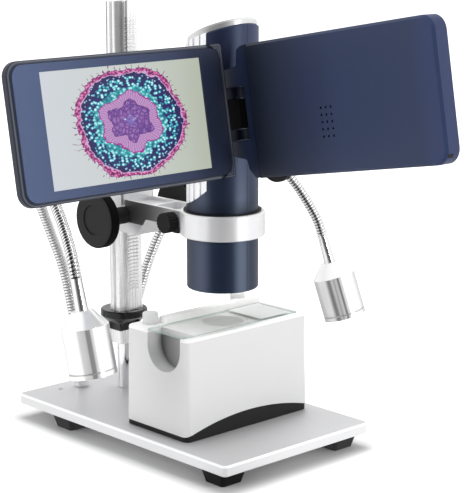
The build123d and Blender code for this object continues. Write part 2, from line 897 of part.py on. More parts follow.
# ---------------------------------------------------------------- second leaf
dial_centre = (leaf_root + dial_x, dial_y)
speaker_centre = (leaf_root + speaker_x, speaker_y)
wing_pocket_length = wing_length - wing_pocket_start - wing_pocket_margin
wing_pocket_x = leaf_root + wing_pocket_start + wing_pocket_length / 2

with BuildPart() as wing_shell:
    with BuildSketch(wing_plane.offset(leaf_front)):
        with BuildLine():
            leaf_outline(wing_length)
        make_face()
    extrude(amount=leaf_back - leaf_front)
    chamfer(wing_shell.faces().sort_by(Axis.X)[0].outer_wire().edges(), leaf_edge)
    with BuildSketch(wing_plane.offset(split)):
        with BuildLine():
            tongue_outline(0.1 - knuckle_radius)
        make_face()
    extrude(amount=leaf_back - split)
    # room round the pin, for the block and for the lid's arms
    with BuildSketch(wing_plane.offset(split)):
        with Locations((-knuckle_radius - 2, wing_low[1] + wing_drop)):
            Rectangle(
                leaf_root - 3 + knuckle_radius + 2, wing_high[0] - wing_low[1], align=(Align.MIN, Align.MIN)
            )
    extrude(amount=leaf_back, mode=Mode.SUBTRACT)
    for low, high in (wing_low, wing_high):
        with BuildSketch(pin_plane.offset(low)):
            Circle(knuckle_radius)
        extrude(amount=high - low)
        with BuildSketch(pin_plane.offset(low)):
            Circle(pin_radius + fit)
        extrude(amount=high - low, mode=Mode.SUBTRACT)
    # room inside, behind the front plate
    with BuildSketch(wing_plane.offset(leaf_front)):
        with Locations((leaf_root + wing_length / 2, leaf_height / 2)):
            RectangleRounded(wing_length - 2 * lid_wall, leaf_height - 2 * lid_wall, leaf_corner - lid_wall)
    extrude(amount=bezel_thickness, mode=Mode.SUBTRACT)
    with BuildSketch(wing_plane.offset(leaf_front)):
        with Locations((wing_pocket_x, leaf_height / 2)):
            Rectangle(wing_pocket_length, leaf_height - 2 * (lid_wall + leaf_ledge))
    extrude(amount=pocket_back - leaf_front, mode=Mode.SUBTRACT)
    # round slot for the dial, open through the lower edge
    with BuildSketch(wing_plane.offset(dial_low - gap)):
        with Locations(dial_centre):
            Circle(dial_radius + gap)
    extrude(amount=dial_thickness + 2 * gap, mode=Mode.SUBTRACT)
    with BuildSketch(wing_plane.offset(leaf_front)):
        with Locations(dial_centre):
            Circle(pin_radius + fit)
    extrude(amount=pocket_back - leaf_front, mode=Mode.SUBTRACT)
    # speaker holes
    with BuildSketch(wing_plane.offset(pocket_back)):
        with Locations(speaker_centre):
            with GridLocations(3.2, 3.2, 3, 5):
                Circle(0.6)
    extrude(amount=lid_wall, mode=Mode.SUBTRACT)
finish(wing_shell, "wing_shell")

with BuildPart() as wing_plate:
    with BuildSketch(wing_plane.offset(leaf_front + 0.2)):
        with Locations((leaf_root + wing_length / 2, leaf_height / 2)):
            RectangleRounded(
                wing_length - 2 * lid_wall - 2 * gap,
                leaf_height - 2 * lid_wall - 2 * gap,
                leaf_corner - lid_wall,
            )
        with Locations(dial_centre):
            Circle(pin_radius + 3 * fit, mode=Mode.SUBTRACT)
    extrude(amount=bezel_thickness - 0.2)
finish(wing_plate, "wing_plate")

inside_front = leaf_front + bezel_thickness

with BuildPart() as main_board:
    with BuildSketch(wing_plane.offset(inside_front)):
        with Locations((wing_pocket_x, leaf_height / 2)):
            Rectangle(
                wing_pocket_length - 2 * board_clearance,
                leaf_height - 2 * (lid_wall + leaf_ledge + board_clearance),
            )
    extrude(amount=board_thickness)
finish(main_board, "main_board")

battery_start = speaker_x + speaker_radius + battery_margin
battery_length = wing_length - wing_pocket_margin - board_clearance - battery_start

with BuildPart() as battery:
    with BuildSketch(wing_plane.offset(inside_front + board_thickness)):
        with Locations((leaf_root + battery_start + battery_length / 2, leaf_height / 2)):
            RectangleRounded(battery_length, battery_height, 1.5)
    extrude(amount=battery_thickness)
finish(battery, "battery")

with BuildPart() as speaker:
    with BuildSketch(wing_plane.offset(inside_front + board_thickness)):
        with Locations(speaker_centre):
            Circle(speaker_radius)
    extrude(amount=pocket_back - inside_front - board_thickness - fit)
finish(speaker, "speaker")

with BuildPart() as jog_dial:
    with BuildSketch(wing_plane.offset(dial_low)):
        with Locations(dial_centre):
            Circle(dial_radius)
            Circle(pin_radius + fit, mode=Mode.SUBTRACT)
    extrude(amount=dial_thickness)
    rims = jog_dial.edges().filter_by(GeomType.CIRCLE).filter_by(lambda edge: edge.radius > pin_radius * 2)
    fillet(rims, 0.5)
finish(jog_dial, "jog_dial")

with BuildPart() as dial_axle:
    with BuildSketch(wing_plane.offset(leaf_front + 0.4)):
        with Locations(dial_centre):
            Circle(pin_radius)
    extrude(amount=pocket_back - leaf_front - 0.4)
finish(dial_axle, "dial_axle")

# ---------------------------------------------------------------- lamps on goosenecks
# Each lamp hangs on its own line: the middle of its lower rim and the direction up its axis.
left_lamp = ((-81.2, 0.9, 38.8), (-0.06, 0.18, 0.98))
right_lamp = ((106.0, 15.8, 31.6), (-0.15, 0.245, 0.958))
# Routes from ferrule to stem, chosen by hand, as heights above the plate.
left_route = [
    (-16.5, 93.8, 22.5),
    (-19.4, 95.8, 32.0),
    (-23.6, 98.4, 55.0),
    (-29.4, 100.0, 80.5),
    (-37.7, 99.6, 103.5),
    (-47.0, 94.6, 123.0),
    (-55.6, 83.4, 136.2),
    (-64.0, 67.4, 136.8),
    (-71.5, 50.4, 127.8),
    (-77.0, 34.4, 114.0),
    (-80.6, 20.6, 99.6),
]
right_route = [
    (16.5, 93.8, 22.5),
    (18.8, 92.6, 32.5),
    (23.7, 91.3, 49.1),
    (29.2, 89.6, 66.0),
    (36.2, 86.4, 82.0),
    (44.2, 81.6, 95.5),
    (52.6, 76.0, 109.0),
    (62.6, 69.4, 123.6),
    (74.4, 61.6, 133.6),
    (84.4, 53.4, 129.0),
    (90.4, 42.6, 108.0),
    (94.2, 35.8, 92.6),
]


def lamp_plane(lamp):
    """Plane across the lower rim of a lamp, with z up its axis."""
    (x, y, z), axis = lamp
    return Plane(origin=(optical_x + x, optical_y + y, plate_top + z), x_dir=(1, 0, 0.1), z_dir=axis)


def ferrule(place, label):
    """Stepped sleeve that holds the foot of a gooseneck on the plate."""
    with BuildPart() as sleeve:
        with BuildSketch(level(plate_top)):
            with Locations(place):
                Circle(ferrule_radius)
        extrude(amount=ferrule_height)
        fillet(sleeve.edges().filter_by(GeomType.CIRCLE), 0.6)
        with BuildSketch(level(plate_top + ferrule_height * 0.72)):
            with Locations(place):
                Circle(ferrule_radius + 1)
                Circle(ferrule_radius - 0.4, mode=Mode.SUBTRACT)
        extrude(amount=0.8, mode=Mode.SUBTRACT)
        with BuildSketch(level(plate_top - plate_thickness + 1 + fit)):
            with Locations(place):
                Circle(post_spigot / 2)
        extrude(amount=plate_thickness)
    finish(sleeve, label)


def lamp(mount, side):
    """One lamp: head with a conical shoulder, stem, light board and lens."""
    rim = lamp_plane(mount)
    with BuildPart() as head:
        with BuildSketch(rim):
            Circle(lamp_radius)
        extrude(amount=lamp_length)
        with BuildSketch(rim.offset(lamp_length)):
            Circle(lamp_radius)
        with BuildSketch(rim.offset(lamp_length + lamp_cone)):
            Circle(lamp_neck_radius)
        loft()
        with BuildSketch(rim.offset(lamp_groove)):
            Circle(lamp_radius + 1)
            Circle(lamp_radius - 0.5, mode=Mode.SUBTRACT)
        extrude(amount=0.7, mode=Mode.SUBTRACT)
        with BuildSketch(rim):
            Circle(lamp_radius - lamp_wall)
        extrude(amount=lamp_recess + led_board_thickness + lamp_board_gap, mode=Mode.SUBTRACT)
        with BuildSketch(rim.offset(lamp_length + lamp_cone - stem_socket)):
            Circle(stem_base_radius + fit)
        extrude(amount=stem_socket, mode=Mode.SUBTRACT)
    finish(head, f"lamp_head_{side}")

    with BuildPart() as stem:
        with BuildSketch(rim.offset(lamp_length + lamp_cone - stem_socket + fit)):
            Circle(stem_base_radius)
        extrude(amount=stem_socket)
        with BuildSketch(rim.offset(lamp_length + lamp_cone + fit)):
            Circle(stem_base_radius)
        with BuildSketch(rim.offset(lamp_length + lamp_cone + stem_length)):
            Circle(hose_radius)
        loft()
    finish(stem, f"lamp_stem_{side}")

    with BuildPart() as lens:
        with BuildSketch(rim.offset(lamp_lens_set)):
            Circle(lamp_radius - lamp_wall - fit)
        extrude(amount=lamp_recess)
        fillet(lens.edges().filter_by(GeomType.CIRCLE), 0.5)
    finish(lens, f"lamp_lens_{side}")

    with BuildPart() as board:
        with BuildSketch(rim.offset(lamp_recess + lamp_board_gap)):
            Circle(lamp_radius - lamp_wall - fit)
        extrude(amount=led_board_thickness)
        with BuildSketch(rim.offset(lamp_recess + lamp_board_gap)):
            Rectangle(lamp_led_size, lamp_led_size)
        extrude(amount=-led_thickness)
    finish(board, f"lamp_board_{side}")


def gooseneck(place, route, mount, label):
    """Flexible tube held in its shape: straight runs joined by the largest tangent arcs they allow."""
    stem_tip = lamp_plane(mount).offset(lamp_length + lamp_cone + stem_length)
    start = Vector(optical_x + place[0], optical_y + place[1], plate_top + ferrule_height)
    middle = [Vector(optical_x + x, optical_y + y, plate_top + z) for x, y, z in route]
    approach = stem_tip.origin + stem_tip.z_dir * 8
    points = [start] + middle + [approach, stem_tip.origin]
    runs = [after - before for before, after in zip(points, points[1:])]
    radii = []
    for before, after in zip(runs, runs[1:]):
        half_turn = radians(before.get_angle(after)) / 2
        radii.append(0.45 * min(before.length, after.length) / tan(half_turn))
    print(label, "radii", [round(radius) for radius in radii])
    with BuildPart() as hose:
        with BuildLine() as path:
            FilletPolyline(*points, radius=radii)
        with BuildSketch(Plane(origin=start, z_dir=(0, 0, 1))):
            Circle(hose_radius)
        sweep()
    length = sum(edge.length for edge in path.edges())
    print(label, "volume", hose.part.volume, "expected", pi * hose_radius**2 * length)
    finish(hose, label)


ferrule(ferrule_places[0], "ferrule_left")
ferrule(ferrule_places[1], "ferrule_right")
lamp(left_lamp, "left")
lamp(right_lamp, "right")
gooseneck(ferrule_places[0], left_route, left_lamp, "gooseneck_left")
gooseneck(ferrule_places[1], right_route, right_lamp, "gooseneck_right")

# ---------------------------------------------------------------- light stage
stage_level = plate_top + stage_lift
stage_top = plate_top + stage_height
stage_middle = (stage_front + stage_back) / 2
stage_depth = stage_back - stage_front
bed_level = stage_top - slide_thickness + slide_proud
window_level = bed_level - window_thickness


def front_arch(low):
    """Front view of the arch between the shell and its base, from a lower line upward."""
    half = stage_width / 2
    Line((-half, low), (half, low))
    Line((half, low), (half, stage_level + stage_skirt))
    ThreePointArc(
        (half, stage_level + stage_skirt), (0, stage_level + stage_arch), (-half, stage_level + stage_skirt)
    )
    Line((-half, stage_level + stage_skirt), (-half, low))


stage_left = stage_x - stage_width / 2
stage_right = stage_x + stage_width / 2
front_face = Plane(
    origin=(optical_x + stage_x, optical_y + stage_front, 0), x_dir=(1, 0, 0), z_dir=(0, -1, 0)
)
notch_middle = (notch_front + notch_back) / 2
notch_radius = (notch_back - notch_front) / 2
notch_depth = stage_height - notch_bottom


def notch_profile(radius):
    """Side view of the U-shaped finger notch, open at the top."""
    centre_z = plate_top + notch_bottom + notch_radius
    with Locations((notch_middle, centre_z)):
        Circle(radius)
    with Locations((notch_middle, (centre_z + stage_top) / 2)):
        Rectangle(2 * radius, stage_top - centre_z)
    with Locations((notch_middle, stage_top)):
        Rectangle(2 * radius, 2 * stage_height, align=(Align.CENTER, Align.MAX), mode=Mode.INTERSECT)


with BuildPart() as stage_shell:
    with BuildSketch(level(stage_level + stage_skirt)):
        with Locations((stage_x, stage_middle)):
            RectangleRounded(stage_width, stage_depth, stage_corner)
    extrude(amount=stage_top - stage_level - stage_skirt, taper=stage_draft)
    fillet(stage_shell.faces().sort_by(Axis.Z)[-1].outer_wire().edges(), 1.2)
    with BuildSketch(level(stage_level + stage_skirt)):
        with Locations((stage_x, stage_middle)):
            RectangleRounded(
                stage_width - 2 * stage_wall, stage_depth - 2 * stage_wall, stage_corner - stage_wall
            )
    extrude(amount=stage_top - stage_level - stage_skirt - shell_roof, taper=stage_draft, mode=Mode.SUBTRACT)
    # rear rail and the sockets of the two posts
    with BuildSketch(level(stage_top)):
        with Locations(((rail_left + rail_right) / 2, (rail_front + rail_back) / 2)):
            RectangleRounded(rail_right - rail_left, rail_back - rail_front, 1.0)
    extrude(amount=rail_height)
    with BuildSketch(level(stage_top - 1)):
        with Locations((-stud_x, stud_y), (stud_x, stud_y)):
            Circle(stud_radius + fit)
    extrude(amount=rail_height + 1, mode=Mode.SUBTRACT)
    # walls of the finger notch, then the notch itself
    with BuildSketch(across(stage_left + stage_wall / 2)):
        notch_profile(notch_radius + stage_wall)
    extrude(amount=notch_reach + stage_wall / 2)
    with BuildSketch(across(stage_left - 1)):
        notch_profile(notch_radius)
    extrude(amount=notch_reach + 1, mode=Mode.SUBTRACT)
    # slide bed and light window with the boss that carries its board
    with BuildSketch(level(stage_top - shell_roof)):
        Circle(window_radius + stage_wall)
    extrude(amount=-(board_drop - shell_roof))
    with BuildSketch(level(bed_level)):
        with Locations((slide_left + slide_length / 2, slide_front + slide_width / 2)):
            Rectangle(slide_length + 2 * gap, slide_width + 2 * gap)
    extrude(amount=slide_thickness + 0.5, mode=Mode.SUBTRACT)
    with BuildSketch(level(stage_top - board_drop)):
        Circle(window_radius - 1.2)
    extrude(amount=board_drop, mode=Mode.SUBTRACT)
    with BuildSketch(level(window_level)):
        Circle(window_radius + fit)
    extrude(amount=window_thickness + 1, mode=Mode.SUBTRACT)
    with BuildSketch(front_face):
        with BuildLine():
            front_arch(stage_level)
        make_face()
    extrude(amount=-stage_wall - 1, mode=Mode.SUBTRACT)
finish(stage_shell, "stage_shell")

with BuildPart() as stage_base:
    with BuildSketch(level(stage_level)):
        with Locations((stage_x, stage_middle)):
            RectangleRounded(stage_width - 0.6, stage_depth - 0.6, stage_corner - 0.3)
    extrude(amount=stage_skirt)
    with BuildSketch(front_face.offset(-0.3)):
        with BuildLine():
            front_arch(stage_level)
        make_face()
        Rectangle(stage_width - 2 * stage_corner, 2 * (stage_level + stage_arch + 5), mode=Mode.INTERSECT)
    extrude(amount=-(stage_wall - 0.3))
finish(stage_base, "stage_base")

with BuildPart() as light_window:
    with BuildSketch(level(window_level)):
        Circle(window_radius)
    extrude(amount=window_thickness - fit)
finish(light_window, "light_window")

with BuildPart() as stage_led_board:
    with BuildSketch(level(stage_top - board_drop - led_board_thickness)):
        Circle(window_radius + stage_wall)
    extrude(amount=led_board_thickness)
    with BuildSketch(level(stage_top - board_drop)):
        with GridLocations(6, 6, 2, 2):
            Rectangle(3, 3)
    extrude(amount=1.2)
finish(stage_led_board, "stage_led_board")

with BuildPart() as stage_posts:
    with BuildSketch(level(stage_top - 1)):
        with Locations((-stud_x, stud_y), (stud_x, stud_y)):
            Circle(stud_radius)
    extrude(amount=stud_height + 1)
    fillet(stage_posts.edges().filter_by(GeomType.CIRCLE).group_by(Axis.Z)[-1], 0.8)
finish(stage_posts, "stage_posts")

with BuildPart() as glass_slide:
    with BuildSketch(level(bed_level + fit)):
        with Locations((slide_left + slide_length / 2, slide_front + slide_width / 2)):
            Rectangle(slide_length, slide_width)
    extrude(amount=slide_thickness)
finish(glass_slide, "glass_slide")

with BuildPart() as cover_slip:
    with BuildSketch(level(bed_level + fit + slide_thickness)):
        Rectangle(18, 18)
    extrude(amount=0.2)
finish(cover_slip, "cover_slip")
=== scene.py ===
# %% [markdown]
# # A desktop microscope with a swing-out screen
# The construction comes in as a fixed frame: every rigid piece, its place and the body that it moves
# with. This notebook gives the pieces their finishes and adds what is too fine for the solids, such as
# the wound wire of the goosenecks, the picture on the screen and the label on the slide. All lengths
# are in metres and +Z is up.

# %% Load the frame
import math
from bisect import bisect

import bmesh
import bpy
from mathutils import Matrix, Vector


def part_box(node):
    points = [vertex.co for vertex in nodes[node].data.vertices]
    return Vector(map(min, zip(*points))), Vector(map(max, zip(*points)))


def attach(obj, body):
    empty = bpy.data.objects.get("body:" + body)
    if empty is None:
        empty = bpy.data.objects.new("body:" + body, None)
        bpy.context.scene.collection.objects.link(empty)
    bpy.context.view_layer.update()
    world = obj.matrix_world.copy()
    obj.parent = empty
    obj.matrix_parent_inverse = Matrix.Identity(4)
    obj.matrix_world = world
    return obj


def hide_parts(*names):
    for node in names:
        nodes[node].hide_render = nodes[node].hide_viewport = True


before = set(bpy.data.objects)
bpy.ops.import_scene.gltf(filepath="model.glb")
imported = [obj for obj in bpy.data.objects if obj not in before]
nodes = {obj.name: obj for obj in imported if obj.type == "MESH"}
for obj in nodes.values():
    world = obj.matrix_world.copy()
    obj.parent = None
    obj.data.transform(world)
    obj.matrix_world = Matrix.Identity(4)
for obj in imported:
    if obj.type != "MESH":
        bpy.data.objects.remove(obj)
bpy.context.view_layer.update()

# %% [markdown]
# ## Shared places
# The optical axis and the top of the base plate are the two places that everything else is measured
# from. The screen leaves have a frame of their own, which starts on their tilted hinge pin. A pattern on
# a leaf could be drawn in the world's axes, but then each line would need the tilt worked in again.

# %% Optical axis and leaf frames
UP = Vector((0, 0, 1))
OPTICAL = Vector((0.01116, 0.02560, 0.0))
PLATE_TOP = 0.013
HINGE = OPTICAL + Vector((-0.00685, -0.02885, PLATE_TOP + 0.1289))
WING_DROP = 0.0018
TILT = math.radians(10.07)
YAW = math.radians(2.46)
PIN_UP = Vector((0, math.sin(TILT), math.cos(TILT)))
LID_OUT = Vector((-1, 0, 0))
WING_OUT = Vector((-math.sin(YAW), -math.cos(TILT) * math.cos(YAW), math.sin(TILT) * math.cos(YAW)))


def leaf_matrix(start, out):
    """Matrix from a leaf's own axes (along, up, back) to the row frame."""
    turn = Matrix((out, PIN_UP, out.cross(PIN_UP))).transposed().to_4x4()
    return Matrix.Translation(start) @ turn


LID = leaf_matrix(HINGE, LID_OUT)
WING = leaf_matrix(HINGE - PIN_UP * WING_DROP, WING_OUT)
print("hinge pin at", [round(v, 4) for v in HINGE], "leaning", round(math.degrees(TILT), 1), "degrees")

# %% [markdown]
# ## Camera
# A long lens from far away keeps the verticals almost parallel, as a catalogue picture does. A short
# lens close by would swell the head, which is nearest to it. The lens is worked out from the picture
# height and the focal length in pixels, so that it fits the picture at any size.

# %% Camera
FOCAL_PIXELS = 1688.8
PICTURE_HEIGHT = 493
SENSOR = 36.0
CAMERA_PLACE = OPTICAL + Vector((-0.55194, -0.59767, 0.27526))
CAMERA_AIM = OPTICAL + Vector((0.0036, -0.0073, 0.1020))
ACROSS = (CAMERA_AIM - CAMERA_PLACE).cross(UP).normalized()

camera_data = bpy.data.cameras.new("camera")
camera_data.sensor_width = SENSOR
camera_data.lens = FOCAL_PIXELS * SENSOR / PICTURE_HEIGHT
camera = bpy.data.objects.new("camera", camera_data)
camera.location = CAMERA_PLACE
camera.rotation_euler = (CAMERA_AIM - CAMERA_PLACE).to_track_quat("-Z", "Y").to_euler()
bpy.context.scene.collection.objects.link(camera)
bpy.context.scene.camera = camera
print("lens:", round(camera_data.lens, 1), "mm, across the view:", [round(v, 3) for v in ACROSS])

# %% [markdown]
# ## Arithmetic with nodes
# Most finishes here are worked out from a point's place on its piece. Each sum is a Math node, and a
# long formula made node by node is hard to read. A Field holds a node's output and lets Python's own
# + - * / < > add the Math nodes, so that a finish reads like the formula that it is.

# %% Fields
class Field:
    """Output of a shader node; arithmetic on it adds Math nodes to the same tree."""

    def __init__(self, tree, socket):
        self.tree = tree
        self.socket = socket

    def math(self, operation, other=None):
        """Math node on this field and, where it takes one, a second field or number."""
        node = self.tree.nodes.new("ShaderNodeMath")
        node.operation = operation
        feed(self, node.inputs[0])
        if other is not None:
            feed(other, node.inputs[1])
        return Field(self.tree, node.outputs[0])

    def __add__(self, other):
        return self.math("ADD", other)

    def __sub__(self, other):
        return self.math("SUBTRACT", other)

    def __mul__(self, other):
        return self.math("MULTIPLY", other)

    def __truediv__(self, number):
        return self.math("MULTIPLY", 1 / number)

    def __gt__(self, other):
        return self.math("GREATER_THAN", other)

    def __lt__(self, other):
        return self.math("LESS_THAN", other)

    def __abs__(self):
        return self.math("ABSOLUTE")


# %% Feeding a socket
def rgb(tone):
    """Colour of three parts; a single number is a grey."""
    return tuple(tone) if hasattr(tone, "__len__") else (tone, tone, tone)


def feed(value, socket):
    """Link a field to an input, or set the input to a plain number, vector or colour."""
    if isinstance(value, Field):
        value.tree.links.new(value.socket, socket)
    elif socket.type == "RGBA":
        socket.default_value = (*rgb(value), 1.0)
    else:
        socket.default_value = value


# %% Places and textures
def object_coordinates(tree):
    """Object coordinates, which stay with the piece when its body moves."""
    return Field(tree, tree.nodes.new("ShaderNodeTexCoord").outputs["Object"])


def vector_math(operation, first, second=None):
    """Vector Math node: a number for a length or a dot product, and a vector for the others."""
    node = first.tree.nodes.new("ShaderNodeVectorMath")
    node.operation = operation
    feed(first, node.inputs[0])
    if second is not None:
        feed(second, node.inputs[1])
    return Field(first.tree, node.outputs["Value" if operation in ("LENGTH", "DOT_PRODUCT") else "Vector"])


def along(place, start, direction):
    """Distance of the shaded point from a start, measured along a direction."""
    return vector_math("DOT_PRODUCT", vector_math("SUBTRACT", place, start), direction)


def noise(vector, scale, detail=2.0):
    """Noise texture on a vector, from 0 to 1."""
    node = vector.tree.nodes.new("ShaderNodeTexNoise")
    node.inputs["Detail"].default_value = detail
    feed(vector, node.inputs["Vector"])
    feed(scale, node.inputs["Scale"])
    return Field(vector.tree, node.outputs["Fac"])


# %% [markdown]
# ## Surface effects
# Moulded plastic has a fine grain and slow smudges where hands touch it, and drawn or turned metal has
# long fine lines. Each effect is a node group that is built once, and every finish sets its own values
# on it. A copy of the nodes in each material would look the same and be harder to keep alike.

# %% Effect groups
def effect_group(name, inputs, relief):
    """Group that puts out a height and a roughness, from a function that gives the two noises."""
    group = bpy.data.node_groups.new(name, "ShaderNodeTree")
    for label, value in inputs.items():
        group.interface.new_socket(label, in_out="INPUT", socket_type="NodeSocketFloat").default_value = value
    for label in ("Height", "Roughness"):
        group.interface.new_socket(label, in_out="OUTPUT", socket_type="NodeSocketFloat")
    start = group.nodes.new("NodeGroupInput")
    end = group.nodes.new("NodeGroupOutput")
    given = {label: Field(group, start.outputs[label]) for label in inputs}
    height, change = relief(object_coordinates(group), given)
    feed(height, end.inputs["Height"])
    feed(given["Roughness"] + (change - 0.5) * given["Variation"], end.inputs["Roughness"])
    print(f"{name}: {len(group.nodes)} nodes")
    return group


# %% Grain and streaks
SMUDGE_SCALE = 45.0


def grain_relief(place, given):
    """Fine moulded grain, and slow smudges for the roughness."""
    return noise(place, given["Scale"], 3.0), noise(place, SMUDGE_SCALE)


def streak_relief(place, given):
    """Long fine lines, as left by a die, a belt or a lathe, for both the height and the roughness."""
    stretch = place.tree.nodes.new("ShaderNodeCombineXYZ")
    for axis in "XYZ":
        feed(given[f"Along {axis}"], stretch.inputs[axis])
    stretched = vector_math("MULTIPLY", place, Field(place.tree, stretch.outputs[0]))
    lines = noise(stretched, given["Across"], 3.0)
    return lines, lines


GRAIN = effect_group("grain", {"Scale": 1500.0, "Roughness": 0.4, "Variation": 0.1}, grain_relief)
STREAKS = effect_group(
    "streaks",
    {"Across": 2500.0, "Along X": 1.0, "Along Y": 1.0, "Along Z": 0.02, "Roughness": 0.3, "Variation": 0.2},
    streak_relief,
)

# %% [markdown]
# ## Plain finishes
# The head and the leaves are satin navy mouldings, the arm and the column are bright aluminium, and
# the stage is a glossy white moulding. Small dark pieces are matt black plastic or rubber. They could
# share one shader with different colours, but gloss and grain tell the materials apart as much as
# colour does, so each finish has its own roughness, relief and shine.

# %% Finish helper
RELIEF_HEIGHT = 0.00005


def finish(name, color, metallic=0.0, bump=0.1, group=GRAIN, coat=0.0, shine=0.5, **values):
    """Principled material whose roughness and relief come from an effect group."""
    material = bpy.data.materials.new(name)
    material.use_nodes = True
    tree = material.node_tree
    shader = tree.nodes["Principled BSDF"]
    feed(color, shader.inputs["Base Color"])
    shader.inputs["Metallic"].default_value = metallic
    shader.inputs["Coat Weight"].default_value = coat
    shader.inputs["Specular IOR Level"].default_value = shine
    effect = tree.nodes.new("ShaderNodeGroup")
    effect.node_tree = group
    for label, value in values.items():
        effect.inputs[label.replace("_", " ")].default_value = value
    tree.links.new(effect.outputs["Roughness"], shader.inputs["Roughness"])
    relief = tree.nodes.new("ShaderNodeBump")
    relief.inputs["Strength"].default_value = bump
    relief.inputs["Distance"].default_value = RELIEF_HEIGHT
    tree.links.new(effect.outputs["Height"], relief.inputs["Height"])
    tree.links.new(relief.outputs["Normal"], shader.inputs["Normal"])
    return material


def dress(material, *names):
    """Give a finish to whole nodes of the frame."""
    for name in names:
        slots = nodes[name].data.materials
        slots.clear()
        slots.append(material)
    print(f"{material.name}: {', '.join(names)}")


# %% Plastic and rubber
NAVY = (0.042, 0.064, 0.136)
BLACK = (0.004, 0.004, 0.006)
WHITE = (0.66, 0.66, 0.66)

navy = finish("navy moulding", NAVY, shine=0.3, Roughness=0.42, Variation=0.08, Scale=2200.0, bump=0.05)
black = finish("black moulding", 0.014, shine=0.15, Roughness=0.40, Variation=0.10, Scale=1800.0)
deep_black = finish("deep black", (0.002, 0.002, 0.003), shine=0.05, Roughness=0.6, Variation=0.04, bump=0.02)
gloss_black = finish("gloss black", 0.004, shine=0.4, Roughness=0.15, Variation=0.04, bump=0.02)
knob_black = finish("knob black", 0.020, shine=0.05, Roughness=0.60, Variation=0.10, Scale=1800.0)
rubber = finish("black rubber", 0.006, shine=0.3, Roughness=0.62, Variation=0.10, Scale=1200.0, bump=0.2)
white = finish("white moulding", WHITE, Roughness=0.30, Variation=0.03, Scale=2200.0, coat=0.15, bump=0.0)
diffuser = finish("milky plastic", (0.54, 0.56, 0.54), Roughness=0.45, Variation=0.05)

dress(navy, "wing_plate")
dress(black, "lens_barrel", "stage_base", "image_sensor", "lcd_module")
dress(deep_black, "hinge_block")
dress(gloss_black, "column_collar")
dress(knob_black, "clamp_knob")
dress(rubber, "rubber_feet", "ring_liner", "jog_dial")
dress(white, "stage_posts")
dress(diffuser, "light_window", "head_diffuser", "lamp_lens_left", "lamp_lens_right")

# %% Metal
CAST = (0.80, 0.80, 0.81)
PLATE_GREY = (0.58, 0.58, 0.59)

silver = finish("silver moulding", (0.92, 0.92, 0.93), metallic=0.3, Roughness=0.30, Variation=0.06)
plate_metal = finish("satin plate", PLATE_GREY, metallic=0.25, Roughness=0.42, Variation=0.05)
arm_metal = finish("cast arm", CAST, metallic=0.6, Roughness=0.30, Variation=0.08)
column_metal = finish(
    "drawn aluminium", 0.97, metallic=0.6, group=STREAKS, Across=3000.0, Along_Z=0.01, Roughness=0.28
)
lamp_metal = finish(
    "turned aluminium", (0.91, 0.91, 0.92), metallic=0.6, group=STREAKS, Across=2600.0, Along_Z=1.0,
    Along_X=0.03, Along_Y=0.03, Roughness=0.22, Variation=0.10, bump=0.04,
)
chrome = finish("chrome", (0.93, 0.93, 0.94), metallic=1.0, Roughness=0.08, Variation=0.04, bump=0.01)
wire = finish("wound wire", (0.86, 0.86, 0.87), metallic=0.9, Roughness=0.16, Variation=0.06, bump=0.02)
steel = finish("steel", (0.60, 0.60, 0.62), metallic=1.0, Roughness=0.30, Variation=0.10)

dress(silver, "back_shell")
dress(column_metal, "foot_block")
dress(chrome, "column_post", "ferrule_left", "ferrule_right", "lamp_stem_left", "lamp_stem_right")
dress(steel, "foot_screws", "clamp_nut", "clamp_bolt", "pinion_shaft", "hinge_pin", "dial_axle")

# %% Electrics inside
board = finish("circuit board", (0.02, 0.17, 0.06), Roughness=0.45, Variation=0.10)
lamp_chip = finish("light chip", (0.90, 0.80, 0.35), Roughness=0.35, Variation=0.05)
cell = finish("battery foil", (0.45, 0.47, 0.50), metallic=0.6, Roughness=0.40, Variation=0.10)
# Painted light: the speaker behind the leaf's small holes gets a lighter navy, to lift the shade in them.
lightened = finish("speaker cloth", (0.16, 0.19, 0.30), Roughness=0.8)

dress(board, "led_ring_board", "sensor_board", "driver_board", "main_board", "stage_led_board")
dress(board, "lamp_board_left", "lamp_board_right")
dress(lamp_chip, "head_leds")
dress(cell, "battery")
dress(lightened, "speaker")

# %% [markdown]
# ## Finishes with a place
# Some finishes change over a piece: the tube has a mould line down its front, the leaves get painted
# shade where they wrap the hinge, and glass is green only at its edges. An image would need every
# piece laid out flat first. A mask worked out from Object coordinates needs nothing but the piece's own
# sizes, and it moves with the piece's body.

# %% Ramps and mixes
def ramp(value, stops):
    """Colour ramp over (position, colour) stops."""
    node = value.tree.nodes.new("ShaderNodeValToRGB")
    elements = node.color_ramp.elements
    while len(elements) < len(stops):
        elements.new(0.5)
    for element, (position, color) in zip(elements, stops):
        element.position = position
        element.color = (*rgb(color), 1.0)
    feed(value, node.inputs["Fac"])
    return Field(value.tree, node.outputs["Color"])


def mix(mask, first, second):
    """First colour where a mask is 0 and second colour where it is 1."""
    node = mask.tree.nodes.new("ShaderNodeMix")
    node.data_type = "RGBA"
    for index, value in ((0, mask), (6, first), (7, second)):
        feed(value, node.inputs[index])
    return Field(mask.tree, node.outputs[2])


def fade(value, start, end, low=0.0, high=1.0, curve="LINEAR"):
    """Goes from low at the start to high at the end, and stays there beyond them."""
    node = value.tree.nodes.new("ShaderNodeMapRange")
    node.interpolation_type = curve
    for label, limit in {"From Min": start, "From Max": end, "To Min": low, "To Max": high}.items():
        node.inputs[label].default_value = limit
    feed(value, node.inputs["Value"])
    return Field(value.tree, node.outputs["Result"])


# %% Masks
def between(value, low, high):
    """1 where a value lies between two limits."""
    return (value > low) * (value < high)


def strips(share, color, bands):
    """Plain colour with soft strips over it, each a (middle, half width, softness, colour)."""
    for middle, half, soft, tone in bands:
        weight = fade(abs(share - middle), half + soft, half - soft, curve="SMOOTHSTEP")
        color = mix(weight, color, tone)
    return color


